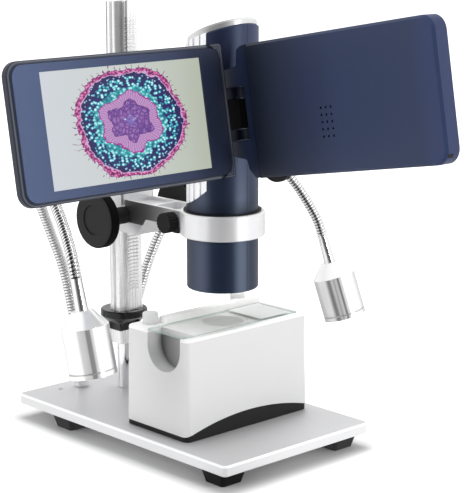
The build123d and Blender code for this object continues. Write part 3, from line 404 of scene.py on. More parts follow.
def outline_distance(values, halves, corner):
    """Signed distance of a point from a rounded rectangle round the origin, less than zero inside it."""
    over_x, over_y = (abs(value) - half + corner for value, half in zip(values, halves))
    square_x, square_y = (over.math("MAXIMUM", 0.0).math("POWER", 2.0) for over in (over_x, over_y))
    outside = (square_x + square_y).math("SQRT")
    inside = over_x.math("MAXIMUM", over_y).math("MINIMUM", 0.0)
    return outside + inside - corner


# %% Painted finishes
def painted(name, paint, like, **values):
    """Copy of a plain finish whose base colour is a function of the point's Object coordinates."""
    group = bpy.data.node_groups.new(f"{name} paint", "ShaderNodeTree")
    group.interface.new_socket("Color", in_out="OUTPUT", socket_type="NodeSocketColor")
    feed(paint(object_coordinates(group)), group.nodes.new("NodeGroupOutput").inputs["Color"])
    material = like.copy()
    material.name = name
    tree = material.node_tree
    shader = tree.nodes["Principled BSDF"]
    node = tree.nodes.new("ShaderNodeGroup")
    node.node_tree = group
    tree.links.new(node.outputs["Color"], shader.inputs["Base Color"])
    for label, value in values.items():
        feed(value, shader.inputs[label.replace("_", " ")])
    return material


# %% [markdown]
# ## Tube
# The camera tube is a satin navy cylinder, so it mirrors the room as a few soft lengthwise glows, and
# it has a fine mould line down its front. Real panels round it could make the glows, but they would
# fall on the leaves as well. They are drawn into the colour as soft strips of painted reflection on a
# darker navy, the upper part gets painted shading that grows lighter towards the right, and the ring's
# shade on the tube is painted shade in the same way.

# %% Tube
TUBE_WIDTH = 0.03528
TUBE_NAVY = (0.005, 0.011, 0.028)
# Painted reflections as two soft strips low down, and painted shading across the upper tube.
TUBE_PAINTED_REFLECTIONS = [(0.205, 0.09, 0.09, (0.054, 0.066, 0.104)), (0.77, 0.075, 0.065, (0.073, 0.093, 0.135))]
TUBE_TOP_SHADING = [(0.0, (0.010, 0.012, 0.030)), (0.5, (0.010, 0.014, 0.040)), (1.0, (0.026, 0.034, 0.080))]
TOP_NAVY_HEIGHTS = (0.124, 0.160)
BLUE_SHEEN = (0.62, 0.74, 0.98)
MOULD_LINE = 0.00018
RING_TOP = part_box("ring_liner")[1].z
RING_SHADE_REACH = 0.0075
RING_SHADE_SHARE = 0.9
RING_SHADE_NAVY = (0.003, 0.004, 0.012)


def paint_tube(place):
    """Painted reflection strips low down, painted shading up top, painted ring shade, a thin mould line."""
    share = along(place, OPTICAL, ACROSS) / TUBE_WIDTH + 0.5
    upper = fade(along(place, Vector(), UP), *TOP_NAVY_HEIGHTS)
    color = mix(upper, strips(share, TUBE_NAVY, TUBE_PAINTED_REFLECTIONS), ramp(share, TUBE_TOP_SHADING))
    rise = along(place, UP * RING_TOP, UP)
    shade = (rise > 0.0) * fade(rise, 0.0, RING_SHADE_REACH, RING_SHADE_SHARE, 0.0)
    color = mix(shade, color, RING_SHADE_NAVY)
    side = abs(along(place, OPTICAL, Vector((1, 0, 0))))
    front = along(place, OPTICAL, Vector((0, -1, 0)))
    return mix((side < MOULD_LINE) * (front > 0.0), color, BLACK)


dress(painted("navy tube", paint_tube, navy, Specular_IOR_Level=0.55, Specular_Tint=BLUE_SHEEN), "tube_body")
print("ring's shade starts at", round(RING_TOP * 1000, 1), "mm")

# %% [markdown]
# ## Leaves
# Both leaves turn on one pin, and painted shade makes the knuckles that wrap it almost black. From
# there the navy grows lighter towards the far end, which stands nearer to the light, as painted shading.
# One colour would need a lamp close to each leaf; a ramp along the leaf keeps the change in place in
# every pose.

# %% Leaves
LEAF_REACH = 0.125
# Painted shade on the knuckles by the hinge pin.
HINGE_SHADE_NAVY = (0.008, 0.015, 0.042)
HINGE_SHADE_STOPS = [(0.0, HINGE_SHADE_NAVY), (0.06, HINGE_SHADE_NAVY)]
WING_NAVY = (0.021, 0.033, 0.079)
# Painted shading along each leaf, lighter towards the far end that stands nearer to the light.
LID_SHADING_STOPS = [(0.10, (0.014, 0.019, 0.040)), (0.28, (0.026, 0.036, 0.080)), (1.0, (0.066, 0.094, 0.186))]
WING_SHADING_STOPS = [
    (0.12, (0.004, 0.007, 0.018)), (0.30, (0.013, 0.019, 0.047)), (0.55, WING_NAVY), (0.94, WING_NAVY),
    (0.99, (0.023, 0.036, 0.098)),
]


def paint_leaf(out, stops):
    """Painted shade on the knuckles round the pin, then navy with painted shading, lighter to the far end."""

    def paint(place):
        return ramp(along(place, HINGE, out) / LEAF_REACH, HINGE_SHADE_STOPS + stops)

    return paint


dress(painted("navy lid", paint_leaf(LID_OUT, LID_SHADING_STOPS), navy), "lid_bezel")
dress(painted("navy wing", paint_leaf(WING_OUT, WING_SHADING_STOPS), navy), "wing_shell")

# %% [markdown]
# ## Rim of the lid
# A narrow step follows the outline of the lid, round its outer corners. Its dark lines are seams with
# painted shade in them, its light lines are painted highlights on the bevels, and the tongue beside the
# hinge gets painted shade. Cut into the mesh, the lines would be as thin as a pixel and break up. Here
# the distance from a rounded rectangle gives how far in each point lies, and a ramp over that distance
# draws all the lines at once.

# %% Rim of the lid
LID_START = 0.01175
LID_HALVES = (0.0605, 0.03125)
LID_MIDDLE = LID @ Vector((LID_START + LID_HALVES[0], LID_HALVES[1], 0.0))
OUTER_CORNER = 0.007
TIGHT_CORNER = 0.0015
RIM_WIDTH = 0.0027
TONGUE_EDGE = -0.0612
# Painted shade on the tongue beside the hinge.
TONGUE_SHADE_NAVY = (0.010, 0.014, 0.028)
RIM_REACH = 0.01
# Dark lines are seams with painted shade in them; the light lines are painted highlights on the bevels.
RIM_DARK = (0.022, 0.026, 0.040)
RIM_EDGE_HIGHLIGHT = (0.100, 0.110, 0.140)
RIM_MIDDLE = (0.022, 0.027, 0.042)
RIM_BEVEL_HIGHLIGHT = (0.066, 0.078, 0.115)
RIM_INNER = (0.022, 0.030, 0.056)
RIM_STOPS = [
    (0.0, RIM_DARK), (0.04, RIM_DARK), (0.06, RIM_EDGE_HIGHLIGHT), (0.09, RIM_EDGE_HIGHLIGHT), (0.11, RIM_MIDDLE),
    (0.15, RIM_MIDDLE), (0.17, RIM_BEVEL_HIGHLIGHT), (0.21, RIM_BEVEL_HIGHLIGHT), (0.23, RIM_INNER), (0.27, RIM_INNER),
]


def paint_rim(place):
    """Seams with painted shade, painted bevel highlights, a painted shaded tongue, then the lid's navy."""
    across = along(place, LID_MIDDLE, LID_OUT)
    up = along(place, LID_MIDDLE, PIN_UP)
    corner = (across > 0.0) * (OUTER_CORNER - TIGHT_CORNER) + TIGHT_CORNER
    inset = outline_distance((across, up), LID_HALVES, corner) * -1.0
    lines = mix(across > TONGUE_EDGE, TONGUE_SHADE_NAVY, ramp(inset / RIM_REACH, RIM_STOPS))
    return mix(inset > RIM_WIDTH, lines, paint_leaf(LID_OUT, LID_SHADING_STOPS)(place))


lined_rim = painted("lined rim", paint_rim, navy)
dress(lined_rim, "lid_shell")

# %% [markdown]
# ## Stage
# The stage is a glossy white moulding with a notch for a finger beside the slide. Its top is painted
# brighter than its sides, where the light falls on it, and the notch darkens towards its inner far
# corner, where little light gets in. The renderer finds part of that shade by itself; the rest is
# painted shade, so that the notch reads clearly against so much white.

# %% Stage
# Painted light on the top of the stage.
LIT_TOP_WHITE = (0.88, 0.88, 0.87)
STAGE_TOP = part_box("stage_shell")[1].z
TOP_LAYER = 0.0050
NOTCH_SIDE = -0.02884
NOTCH_DEPTH = 0.01
NOTCH_FRONT = 0.0132
NOTCH_LENGTH = 0.02392
DEPTH_LIMITS = (0.0, 1.06)
BACK_LIMITS = (-0.003, 1.003)
NOTCH_GATHER = 6.0
FRONT_SHADE = 0.34
BACK_SHADE = 0.84
NOTCH_DARK = 0.02


def paint_stage(place):
    """White, with painted light on top and painted shade towards the inner far corner of the finger notch."""
    depth = along(place, Vector((NOTCH_SIDE, 0, 0)), Vector((1, 0, 0))) / NOTCH_DEPTH
    back = along(place, Vector((0, NOTCH_FRONT, 0)), Vector((0, 1, 0))) / NOTCH_LENGTH
    inside = between(depth, *DEPTH_LIMITS) * between(back, *BACK_LIMITS)
    deep = depth.math("MAXIMUM", 0.0).math("MINIMUM", 1.0).math("POWER", NOTCH_GATHER)
    shade = back * (BACK_SHADE - FRONT_SHADE) + FRONT_SHADE
    top = along(place, UP * STAGE_TOP, UP) > -TOP_LAYER
    return mix(inside * deep * shade, mix(top, WHITE, LIT_TOP_WHITE), NOTCH_DARK)


dress(painted("white stage", paint_stage, white), "stage_shell")
print("stage top at", round(STAGE_TOP * 1000, 1), "mm")

# %% [markdown]
# ## Base plate, knobs and cap
# The plate is satin aluminium with a cut bevel; its sides are painted lighter than its top and the
# bevel carries a painted highlight. Each knob is a turned black face with painted shade on the grip
# round it, and the cap on the head dims in the middle with a painted reflection of the dark side of
# the room.
# Separate materials on faces would do for the plate, but the solids' faces are loose triangles, so a
# height or a radius picks the place instead.

# %% Base plate
BEVEL_DEPTH = 0.0012
TOP_SKIN = 0.00005
# Sides painted lighter than the top, and a painted highlight on the cut bevel.
LIGHTER_PLATE_SIDES = (0.74, 0.74, 0.75)
BEVEL_HIGHLIGHT = 0.93


def paint_plate(place):
    """Satin grey on top, painted lighter on the sides, with a painted highlight on the cut bevel between."""
    height = along(place, UP * PLATE_TOP, UP)
    sides = mix(height > -BEVEL_DEPTH, LIGHTER_PLATE_SIDES, BEVEL_HIGHLIGHT)
    return mix(height > -TOP_SKIN, sides, PLATE_GREY)


dress(painted("cut plate", paint_plate, plate_metal), "base_plate")

# %% Focus knobs
GRIP_RADIUS = 0.0142
FACE_BLACK = 0.030
# Painted shade on the grip round the face.
SHADED_GRIP_BLACK = 0.003
KNOB_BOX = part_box("focus_knob_left")
KNOB_MIDDLE = (KNOB_BOX[0] + KNOB_BOX[1]) / 2


def paint_knob(place):
    """Black turned face with painted shade on the grip round it."""
    away = vector_math("MULTIPLY", vector_math("SUBTRACT", place, KNOB_MIDDLE), Vector((0, 1, 1)))
    return mix(vector_math("LENGTH", away) > GRIP_RADIUS, FACE_BLACK, SHADED_GRIP_BLACK)


dress(painted("focus knob", paint_knob, knob_black), "focus_knob_left", "focus_knob_right")

# %% Head cap
CAP_WIDTH = 0.0455
CAP_SILVER = 0.71
# Painted reflection of the dark side of the room, as a dim strip.
CAP_REFLECTION_STRIPS = [(0.43, 0.15, 0.10, 0.31)]


def paint_cap(place):
    """Silver with a soft painted reflection of the dark room as a strip near the middle, seen across it."""
    return strips(along(place, OPTICAL, ACROSS) / CAP_WIDTH + 0.5, CAP_SILVER, CAP_REFLECTION_STRIPS)


dress(painted("cap silver", paint_cap, silver), "head_cap")

# %% [markdown]
# ## Column and arm
# The column is drawn aluminium: its grooves and flat faces show as lengthwise bands of painted
# reflection and shade, which fade low down, where the bright plate lights it. The arm is a casting
# whose left side gets painted shade, darker towards the column. Bare metal in a simple studio mirrors
# too little to show either, so both are painted over the metal as grey values.

# %% Column
COLUMN_PLACE = Vector((OPTICAL.x, 0.106, 0.0))
COLUMN_LEFT = -0.005
COLUMN_WIDTH = 0.017
COLUMN_BRIGHT = 0.95
LIT_HEIGHTS = (0.120, 0.170)
LIT_SHARE = 0.94
LIT_BRIGHT = 0.96
# Painted reflection and shade of the profile's faces and grooves, as dark bands.
COLUMN_SHADE_STRIPS = [(0.03, 0.03, 0.01, 0.28), (0.41, 0.12, 0.04, 0.30), (0.641, 0.03, 0.01, 0.26)]


def paint_column(place):
    """Painted reflection and shade in lengthwise bands, fainter low down where the plate lights it."""
    share = (along(place, COLUMN_PLACE, ACROSS) - COLUMN_LEFT) / COLUMN_WIDTH
    faint = fade(along(place, Vector(), UP), *LIT_HEIGHTS, LIT_SHARE, 0.0)
    return mix(faint, strips(share, COLUMN_BRIGHT, COLUMN_SHADE_STRIPS), LIT_BRIGHT)


dress(painted("banded column", paint_column, column_metal), "column", "gear_rack")

# %% Arm
ARM_SIDE = 0.0022
ARM_UNDERSIDE = 0.1060
ARM_FRONT = 0.0376
ARM_REACH = 0.05
ARM_END = 1.03
# Painted shade on the left side of the arm.
ARM_SHADE_GREY = 0.03
ARM_SHADE = [(0.0, 0.0), (0.20, 0.22), (0.45, 0.60), (0.70, 0.82), (1.0, 0.90)]


def paint_arm(place):
    """Bright casting whose left side gets painted shade, darker from the ring towards the column."""
    side = along(place, Vector((ARM_SIDE, 0, 0)), Vector((1, 0, 0))) < 0.0
    above = along(place, UP * ARM_UNDERSIDE, UP) > 0.0
    reach = along(place, Vector((0, ARM_FRONT, 0)), Vector((0, 1, 0))) / ARM_REACH
    return mix(side * above * (ramp(reach, ARM_SHADE) * (reach < ARM_END)), CAST, ARM_SHADE_GREY)


dress(painted("shaded casting", paint_arm, arm_metal), "focus_arm")

# %% [markdown]
# ## The picture on the screen
# The screen shows a stained cross-section: a pale field, a magenta skin, a band of dark and cyan
# cells, and a lilac rosette with six lobes. A stored image would be a second file to keep beside the
# part. Everything here is a function of the distance and the angle from the picture's middle,
# roughened by noise, with a Voronoi texture for the cells.

# %% Shape of the section
BEZEL_SIDE = 0.0138
BEZEL_LOW = 0.0058
SCREEN_HALVES = (0.0457, 0.02555)
SCREEN_CORNER = Vector((LID_START + BEZEL_SIDE, BEZEL_LOW, 0.0))
SCREEN_MIDDLE = LID @ (SCREEN_CORNER + Vector((*SCREEN_HALVES, 0.0)))
SECTION_SHIFT = -0.0015
SECTION_MIDDLE = SCREEN_MIDDLE + LID_OUT * SECTION_SHIFT
SECTION_RADIUS = 0.025
SECTION_STRETCH = 0.75
ROUGH_SCALE = 420.0
ROUGH_AMOUNT = 0.0032
SLOW_SCALE = 70.0
SLOW_AMOUNT = 0.0070


def section_shape(place):
    """Flat place in the picture, its angle, its roughened radius and the two noises behind that."""
    u = along(place, SECTION_MIDDLE, LID_OUT) * SECTION_STRETCH
    v = along(place, SECTION_MIDDLE, PIN_UP)
    joined = place.tree.nodes.new("ShaderNodeCombineXYZ")
    feed(u, joined.inputs["X"])
    feed(v, joined.inputs["Y"])
    flat = Field(place.tree, joined.outputs[0])
    rough = noise(flat, ROUGH_SCALE, 5.0) - 0.5
    slow = noise(flat, SLOW_SCALE, 1.0) - 0.5
    radius = (u * u + v * v).math("SQRT") + (rough * ROUGH_AMOUNT + slow * SLOW_AMOUNT)
    return flat, v.math("ARCTAN2", u), radius / SECTION_RADIUS, rough, slow


print("screen's middle:", [round(v * 1000, 1) for v in SCREEN_MIDDLE], "mm")

# %% Colours of the section
PALE_FIELD = [(0.0, (0.60, 0.63, 0.69)), (0.5, (0.56, 0.60, 0.57)), (1.0, (0.42, 0.46, 0.36))]
CYAN_CELLS = [
    (0.38, (0.82, 0.95, 0.96)), (0.48, (0.14, 0.62, 0.72)), (0.62, (0.02, 0.38, 0.46)),
    (0.74, (0.012, 0.008, 0.11)),
]
TEAL_CELLS = [(0.24, (0.42, 0.84, 0.84)), (0.5, (0.020, 0.40, 0.43)), (0.8, (0.012, 0.12, 0.22))]
NIGHT_CELLS = [(0.22, (0.34, 0.60, 0.80)), (0.36, (0.010, 0.006, 0.09))]
CORE_CELLS = [(0.10, (0.62, 0.84, 0.92)), (0.40, (0.20, 0.14, 0.46))]
TISSUE = [(0.02, (0.12, 0.04, 0.26)), (0.14, (0.30, 0.14, 0.42)), (0.3, (0.40, 0.22, 0.52))]
PETALS = [(0.05, (0.24, 0.06, 0.32)), (0.35, (0.44, 0.22, 0.48)), (0.9, (0.52, 0.30, 0.56))]
BARK = [(0.38, (0.08, 0.004, 0.06)), (0.50, (0.44, 0.03, 0.24)), (0.64, (0.76, 0.32, 0.58))]
PURPLE_LINE = (0.12, 0.02, 0.20)
MAGENTA_LINE = (0.36, 0.02, 0.28)
LILAC_LINE = (0.62, 0.36, 0.58)
DARK_SKIN = (0.22, 0.02, 0.16)
DOT_PURPLE = (0.10, 0.02, 0.22)
print("cell colours:", len(CYAN_CELLS + TEAL_CELLS + NIGHT_CELLS + CORE_CELLS))

# %% Rosette
SPOKES = 38.0
SPOKE_BEND = 6.0
DOT_SCALE = 1500.0
DOT_LIMIT = 0.24
TISSUE_SCALE = 520.0


def voronoi(vector, scale, feature="F1"):
    """Distance to the middle of a cell, or to its edge."""
    node = vector.tree.nodes.new("ShaderNodeTexVoronoi")
    node.feature = feature
    node.inputs["Scale"].default_value = scale
    feed(vector, node.inputs["Vector"])
    return Field(vector.tree, node.outputs["Distance"])


def rosette(flat, angle, rough):
    """Speckled tissue round the middle of the section, and the petals round that."""
    spokes = abs((angle * SPOKES + rough * SPOKE_BEND).math("SINE"))
    dots = noise(flat, DOT_SCALE) * spokes < DOT_LIMIT
    tissue = ramp(voronoi(flat, TISSUE_SCALE, "DISTANCE_TO_EDGE"), TISSUE)
    return mix(dots, tissue, DOT_PURPLE), ramp(spokes, PETALS)


# %% Rings of the section
CELL_SCALE = 760.0
PATCH_SCALE = 210.0
PATCH_SHARE = 0.35
BARK_SCALE = 900.0
HAIR_SCALE = 500.0
LOBES = 6.0
LOBE_HEIGHT = 0.045
HAIRS = 60.0
HAIR_BEND = 9.0
HAIR_LIMIT = 0.94
HAIR_LENGTH = 0.12
SKIN_EDGE = 0.95
FIELD_SLOPE = -9.0


def paint_screen(place):
    """Stained section on a pale grey-green field, from its middle outward."""
    flat, angle, ring, rough, slow = section_shape(place)
    cells = voronoi(flat, CELL_SCALE)
    tissue, petals = rosette(flat, angle, rough)
    heart = ring + (angle * LOBES).math("COSINE") * LOBE_HEIGHT
    teal = ramp(cells, TEAL_CELLS)
    cyan = ramp(cells + noise(flat, PATCH_SCALE) * PATCH_SHARE, CYAN_CELLS)
    bark = ramp(noise(flat, BARK_SCALE, 3.0), BARK)
    night = ramp(cells, NIGHT_CELLS)
    inner = [(0.07, tissue), (0.34, PURPLE_LINE), (0.355, petals), (0.50, MAGENTA_LINE), (0.52, teal)]
    outer = [(0.62, cyan), (0.80, night), (0.87, LILAC_LINE), (0.885, bark), (0.94, DARK_SKIN)]
    color = ramp(cells, CORE_CELLS)
    for measure, layers in ((heart, inner), (ring, outer)):
        for limit, layer in layers:
            color = mix(measure > limit, color, layer)
    comb = (angle * HAIRS + (slow + rough) * HAIR_BEND).math("SINE")
    hairs = (comb > HAIR_LIMIT) * noise(flat, HAIR_SCALE, 1.0)
    field = ramp(along(place, SECTION_MIDDLE, LID_OUT) * FIELD_SLOPE + 0.5, PALE_FIELD)
    return mix(ring - hairs * HAIR_LENGTH > SKIN_EDGE, color, field)


# %% Screen glass
SCREEN_GLOW = 1.0
SCREEN_SHINE = 0.35


def make_screen():
    """Glossy black glass that glows with the picture."""
    material = painted("screen picture", paint_screen, black)
    tree = material.node_tree
    shader = tree.nodes["Principled BSDF"]
    link = shader.inputs["Base Color"].links[0]
    tree.links.new(link.from_socket, shader.inputs["Emission Color"])
    tree.links.remove(link)
    shader.inputs["Emission Strength"].default_value = SCREEN_GLOW
    shader.inputs["Specular IOR Level"].default_value = SCREEN_SHINE
    return material


dress(make_screen(), "screen_glass")

# %% [markdown]
# ## Glass
# Thin clear glass shows mostly by what it reflects and by its green edge. Full transmission bends and
# slows every ray through a sheet that is one millimetre thick, for little gain. So the slide and its
# cover are nearly transparent sheets whose side faces are tinted, and the object-space normal tells the
# sides from the top. Only the front lens, a solid piece, gets real transmission.

# %% Thin glass
CLEAR_FACE = (0.96, 0.97, 0.96)
GREEN_EDGE = (0.34, 0.52, 0.46)


def glass_shader(name, roughness):
    """New material with a smooth shader; returns it, its tree and the shader."""
    material = bpy.data.materials.new(name)
    material.use_nodes = True
    shader = material.node_tree.nodes["Principled BSDF"]
    shader.inputs["Roughness"].default_value = roughness
    return material, material.node_tree, shader


def thin_glass(name, top_alpha, edge_alpha):
    """Clear sheet with a green edge; the alpha and the colour follow the direction of the face."""
    material, tree, shader = glass_shader(name, roughness=0.04)
    facing = Field(tree, tree.nodes.new("ShaderNodeTexCoord").outputs["Normal"])
    side = abs(vector_math("DOT_PRODUCT", facing, UP)) < 0.5
    feed(mix(side, CLEAR_FACE, GREEN_EDGE), shader.inputs["Base Color"])
    feed(side * (edge_alpha - top_alpha) + top_alpha, shader.inputs["Alpha"])
    return material


dress(thin_glass("slide glass", top_alpha=0.20, edge_alpha=0.40), "glass_slide")
dress(thin_glass("cover glass", top_alpha=0.03, edge_alpha=0.10), "cover_slip")

# %% Lens glass
def solid_glass(name, color):
    """Clear glass with real transmission, for a thick piece."""
    material, _, shader = glass_shader(name, roughness=0.02)
    feed(color, shader.inputs["Base Color"])
    shader.inputs["Transmission Weight"].default_value = 1.0
    return material


dress(solid_glass("clear glass", (0.95, 0.98, 0.98)), "front_lens")

# %% [markdown]
# ## Route of a gooseneck
# Each lamp stands on a gooseneck that rises from the plate, arches over and comes down into the lamp's
# stem. A spline through a few points would swing out between them. A real gooseneck keeps a steady
# bend, so its route is straight runs joined by tangent arcs. The points are given in millimetres from
# the optical axis and from the top of the plate.

# %% Routes
LAMP_PLACES = {
    "left": (Vector((-81.2, 0.9, 38.8)), Vector((-0.06, 0.18, 0.98)).normalized()),
    "right": (Vector((106.0, 15.8, 31.6)), Vector((-0.15, 0.245, 0.958)).normalized()),
}
ROUTES = {
    "left": [
        (-16.5, 93.8, 16.5), (-16.5, 93.8, 22.5), (-18.3, 95.1, 32), (-20.3, 96.2, 44),
        (-22, 97.2, 56.7), (-25.1, 98.6, 70.5), (-30.2, 100, 84.9), (-36.4, 99.7, 100.2),
        (-43.5, 96.8, 115.6), (-50, 91, 128), (-56.6, 81.4, 136.2), (-64.6, 65.4, 136.4),
        (-72, 47.5, 124.2), (-76.4, 32.6, 112.6), (-80, 21.7, 103.1),
    ],
    "right": [
        (16.5, 93.8, 16.5), (16.5, 93.8, 22.5), (18.8, 92.6, 32.5), (23.7, 91.3, 49.1),
        (29.2, 89.6, 66), (36.2, 86.4, 82), (44.2, 81.6, 95.5), (52.6, 76, 109),
        (61.6, 69.4, 121.6), (71, 62, 127.4), (79.7, 54.6, 122.9), (87.2, 45.8, 112.1),
        (92.7, 38.9, 101.3), (96.2, 33.8, 91.6),
    ],
}


# %% Corner points
MM = 0.001
LAMP_LENGTH = 46.4
STEM_REACH = 8.0


def in_frame(point):
    """Point in metres in the row frame, from millimetres round the optical axis."""
    return point * MM + OPTICAL + UP * PLATE_TOP


def route_points(side):
    """Corner points of a gooseneck's route, ending at the lamp's stem."""
    rim, axis = LAMP_PLACES[side]
    tip = rim + axis * LAMP_LENGTH
    return [in_frame(point) for point in [*map(Vector, ROUTES[side]), tip + axis * STEM_REACH, tip]]


for side, points in ROUTES.items():
    print(f"{side} gooseneck: {len(points) + 2} points")

# %% Tangent arcs
def rounded(points, share=0.5, step=0.0006):
    """Dense points of a polyline whose corners are replaced by the largest tangent arcs that fit."""
    dense = [points[0]]

    def straight(end):
        start = dense[-1].copy()
        count = max(1, round((end - start).length / step))
        dense.extend(start.lerp(end, (index + 1) / count) for index in range(count))

    for before, corner, after in zip(points, points[1:], points[2:]):
        inward = (corner - before).normalized()
        outward = (after - corner).normalized()
        turn = inward.angle(outward)
        cut = share * min((corner - before).length, (after - corner).length)
        straight(corner - inward * cut)
        start = dense[-1].copy()
        across = (outward - inward * outward.dot(inward)).normalized()
        radius = cut / math.tan(turn / 2)
        count = max(2, round(radius * turn / step))
        for index in range(1, count + 1):
            angle = turn * index / count
            dense.append(start + (inward * math.sin(angle) + across * (1 - math.cos(angle))) * radius)
    straight(points[-1])
    return dense


# %% Lines of the goosenecks
def distances_along(dense):
    """Distance of each dense point from the first one, along the line."""
    distances = [0.0]
    for before, after in zip(dense, dense[1:]):
        distances.append(distances[-1] + (after - before).length)
    return distances


LINES = {side: rounded(route_points(side)) for side in ROUTES}
for side, dense in LINES.items():
    print(f"{side} line: {len(dense)} points, {distances_along(dense)[-1] * 1000:.1f} mm")

# %% [markdown]
# ## Lamp bodies
# A lamp's body is turned aluminium with a fine groove near its rim and a plain cone at its top. A
# turned cylinder shows its room as a few narrow lengthwise streaks. Mirroring a real room would need
# one to be built; streaks of painted reflection give the same reading and keep their place on the
# lamp. The groove gets a line of painted shade.

# %% Lamp bodies
LAMP_WIDTH = 0.0228
CONE_START = 0.0230
LAMP_GROOVE = (0.0020, 0.0026)
LAMP_BRIGHT = 0.98
# Painted shade in the groove; below, painted reflection streaks on the body.
GROOVE_SHADE_GREY = 0.60
LAMP_REFLECTION_STRIPS = {
    "left": [(0.0, 0.04, 0.04, 0.70), (0.59, 0.05, 0.02, 0.44), (1.0, 0.06, 0.04, 0.50)],
    "right": [
        (0.04, 0.05, 0.03, 0.78), (0.33, 0.06, 0.05, 0.24), (0.45, 0.02, 0.015, 0.72),
        (0.557, 0.025, 0.015, 0.34), (0.97, 0.05, 0.04, 0.72),
    ],
}


def paint_lamp(side):
    """Painted reflection streaks on a lamp's body, painted shade in its groove and a plain bright cone."""
    rim, axis = LAMP_PLACES[side]
    start = in_frame(rim)
    across = (ACROSS - axis * ACROSS.dot(axis)).normalized()

    def paint(place):
        height = along(place, start, axis)
        streaks = strips(along(place, start, across) / LAMP_WIDTH + 0.5, LAMP_BRIGHT, LAMP_REFLECTION_STRIPS[side])
        body = mix(height < CONE_START, LAMP_BRIGHT, streaks)
        return mix(between(height, *LAMP_GROOVE), body, GROOVE_SHADE_GREY)

    return paint


for side in LAMP_PLACES:
    dress(painted(f"{side} lamp metal", paint_lamp(side), lamp_metal), f"lamp_head_{side}")

# %% [markdown]
# ## Wound hose
# A gooseneck is a close coil of round wire, and the light catches each turn. A bump texture would leave
# its outline smooth, so the turns are modelled. One turn is a half circle that is swept round the axis
# and advances by one wire thickness, so that neighbouring turns touch; copies of it make the coil, and
# the straight coil is then bent along its route. Each vertex remembers how deep in the groove between
# two turns it lies, on which side of the hose and how far from the stem, and the finish reads that to
# paint shade in the grooves, light on one side and a dark reflection that grows towards the stem.

# %% Wire finish
WIRE_BRIGHT = 0.94
# Painted light on one side of the hose.
LIT_SIDE = (0.55, 0.75)
LIT_SIDE_SHARE = 0.65
GLINT_REACH = (0.026, 0.060)
# Painted shade in the grooves between turns; the glint stops paint a dark reflection near the stem.
GROOVE_SHADE_STOPS = [(0.0, 0.92), (0.35, 0.66), (0.75, 0.10), (1.0, 0.02)]
GLINT_PLACE = [(0.29, 0.0), (0.35, 1.0), (0.48, 1.0), (0.54, 0.0)]
GLINT_STOPS = [(0.0, 0.50), (0.12, 0.12), (0.35, 0.01)]


def stored(tree, name):
    """Value that the mesh keeps for each vertex under a name."""
    node = tree.nodes.new("ShaderNodeAttribute")
    node.attribute_name = name
    return Field(tree, node.outputs["Fac"])


def paint_wire(place):
    """Painted shade in the grooves, a painted lit side, and a painted dark glint growing towards the stem."""
    depth, lean, left = (stored(place.tree, name) for name in ("groove", "lean", "left"))
    near_stem = fade(left, *GLINT_REACH, 1.0, 0.0)
    rings = mix(fade(lean, *LIT_SIDE, 0.0, LIT_SIDE_SHARE), ramp(depth, GROOVE_SHADE_STOPS), WIRE_BRIGHT)
    return mix(ramp(lean, GLINT_PLACE) * near_stem, rings, ramp(depth, GLINT_STOPS))


wound = painted("wound coil", paint_wire, wire)
print("wire finish:", wound.name)

# %% Straight coil
HOSE_RADIUS = 0.0029
WIRE_RADIUS = 0.0008
TURN_STEPS = 20
WIRE_STEPS = 6


def half_circle(form):
    """Profile of the wire, from one groove to the next; each vertex stores its depth."""
    groove = form.verts.layers.float.new("groove")
    rim = []
    for index in range(WIRE_STEPS + 1):
        angle = math.pi * index / WIRE_STEPS - math.pi / 2
        radius = HOSE_RADIUS - WIRE_RADIUS + WIRE_RADIUS * math.cos(angle)
        rim.append(form.verts.new((radius, 0.0, WIRE_RADIUS * (1 + math.sin(angle)))))
        rim[-1][groove] = 1 - math.cos(angle)
    return rim


def straight_coil(length):
    """Close coil of wire along +Z, as a mesh of touching half-round turns."""
    form = bmesh.new()
    rim = half_circle(form)
    edges = [form.edges.new(pair) for pair in zip(rim, rim[1:])]
    bmesh.ops.spin(
        form, geom=rim + edges, cent=(0, 0, 0), axis=(0, 0, 1), angle=math.tau, steps=TURN_STEPS,
        dvec=(0, 0, 2 * WIRE_RADIUS / TURN_STEPS),
    )
    turn = form.verts[:] + form.edges[:] + form.faces[:]
    for index in range(1, int(length / (2 * WIRE_RADIUS))):
        copy = bmesh.ops.duplicate(form, geom=turn)["geom"]
        moved = [item for item in copy if isinstance(item, bmesh.types.BMVert)]
        bmesh.ops.translate(form, verts=moved, vec=(0, 0, 2 * WIRE_RADIUS * index))
    return form


print("turns of wire in a centimetre:", round(0.01 / (2 * WIRE_RADIUS), 2))

# %% Bend
def steady_frames(dense):
    """Tangent and side direction at each dense point, where the side never twists."""
    last = len(dense) - 1
    tangents = [(dense[min(i + 1, last)] - dense[max(i - 1, 0)]).normalized() for i in range(len(dense))]
    side = tangents[0].orthogonal().normalized()
    frames = []
    for tangent in tangents:
        side = (side - tangent * side.dot(tangent)).normalized()
        frames.append((tangent, side))
    return frames


def bend(form, dense):
    """Move a straight form so that its Z axis follows a line of dense points, without twist."""
    distances = distances_along(dense)
    frames = steady_frames(dense)
    lean = form.verts.layers.float.new("lean")
    left = form.verts.layers.float.new("left")
    for vertex in form.verts:
        height = vertex.co.z
        index = max(bisect(distances, height) - 1, 0)
        tangent, side = frames[index]
        away = side * vertex.co.x + tangent.cross(side) * vertex.co.y
        vertex[left] = distances[-1] - height
        vertex[lean] = away.dot(ACROSS) / (2 * HOSE_RADIUS) + 0.5
        vertex.co = dense[index] + tangent * (height - distances[index]) + away


# %% Goosenecks
MERGE_DISTANCE = 0.00001


def new_object(name, form, material):
    """Object whose mesh is a finished bmesh, with one material."""
    mesh = bpy.data.meshes.new(name)
    form.to_mesh(mesh)
    form.free()
    mesh.materials.append(material)
    made = bpy.data.objects.new(name, mesh)
    bpy.context.scene.collection.objects.link(made)
    return made


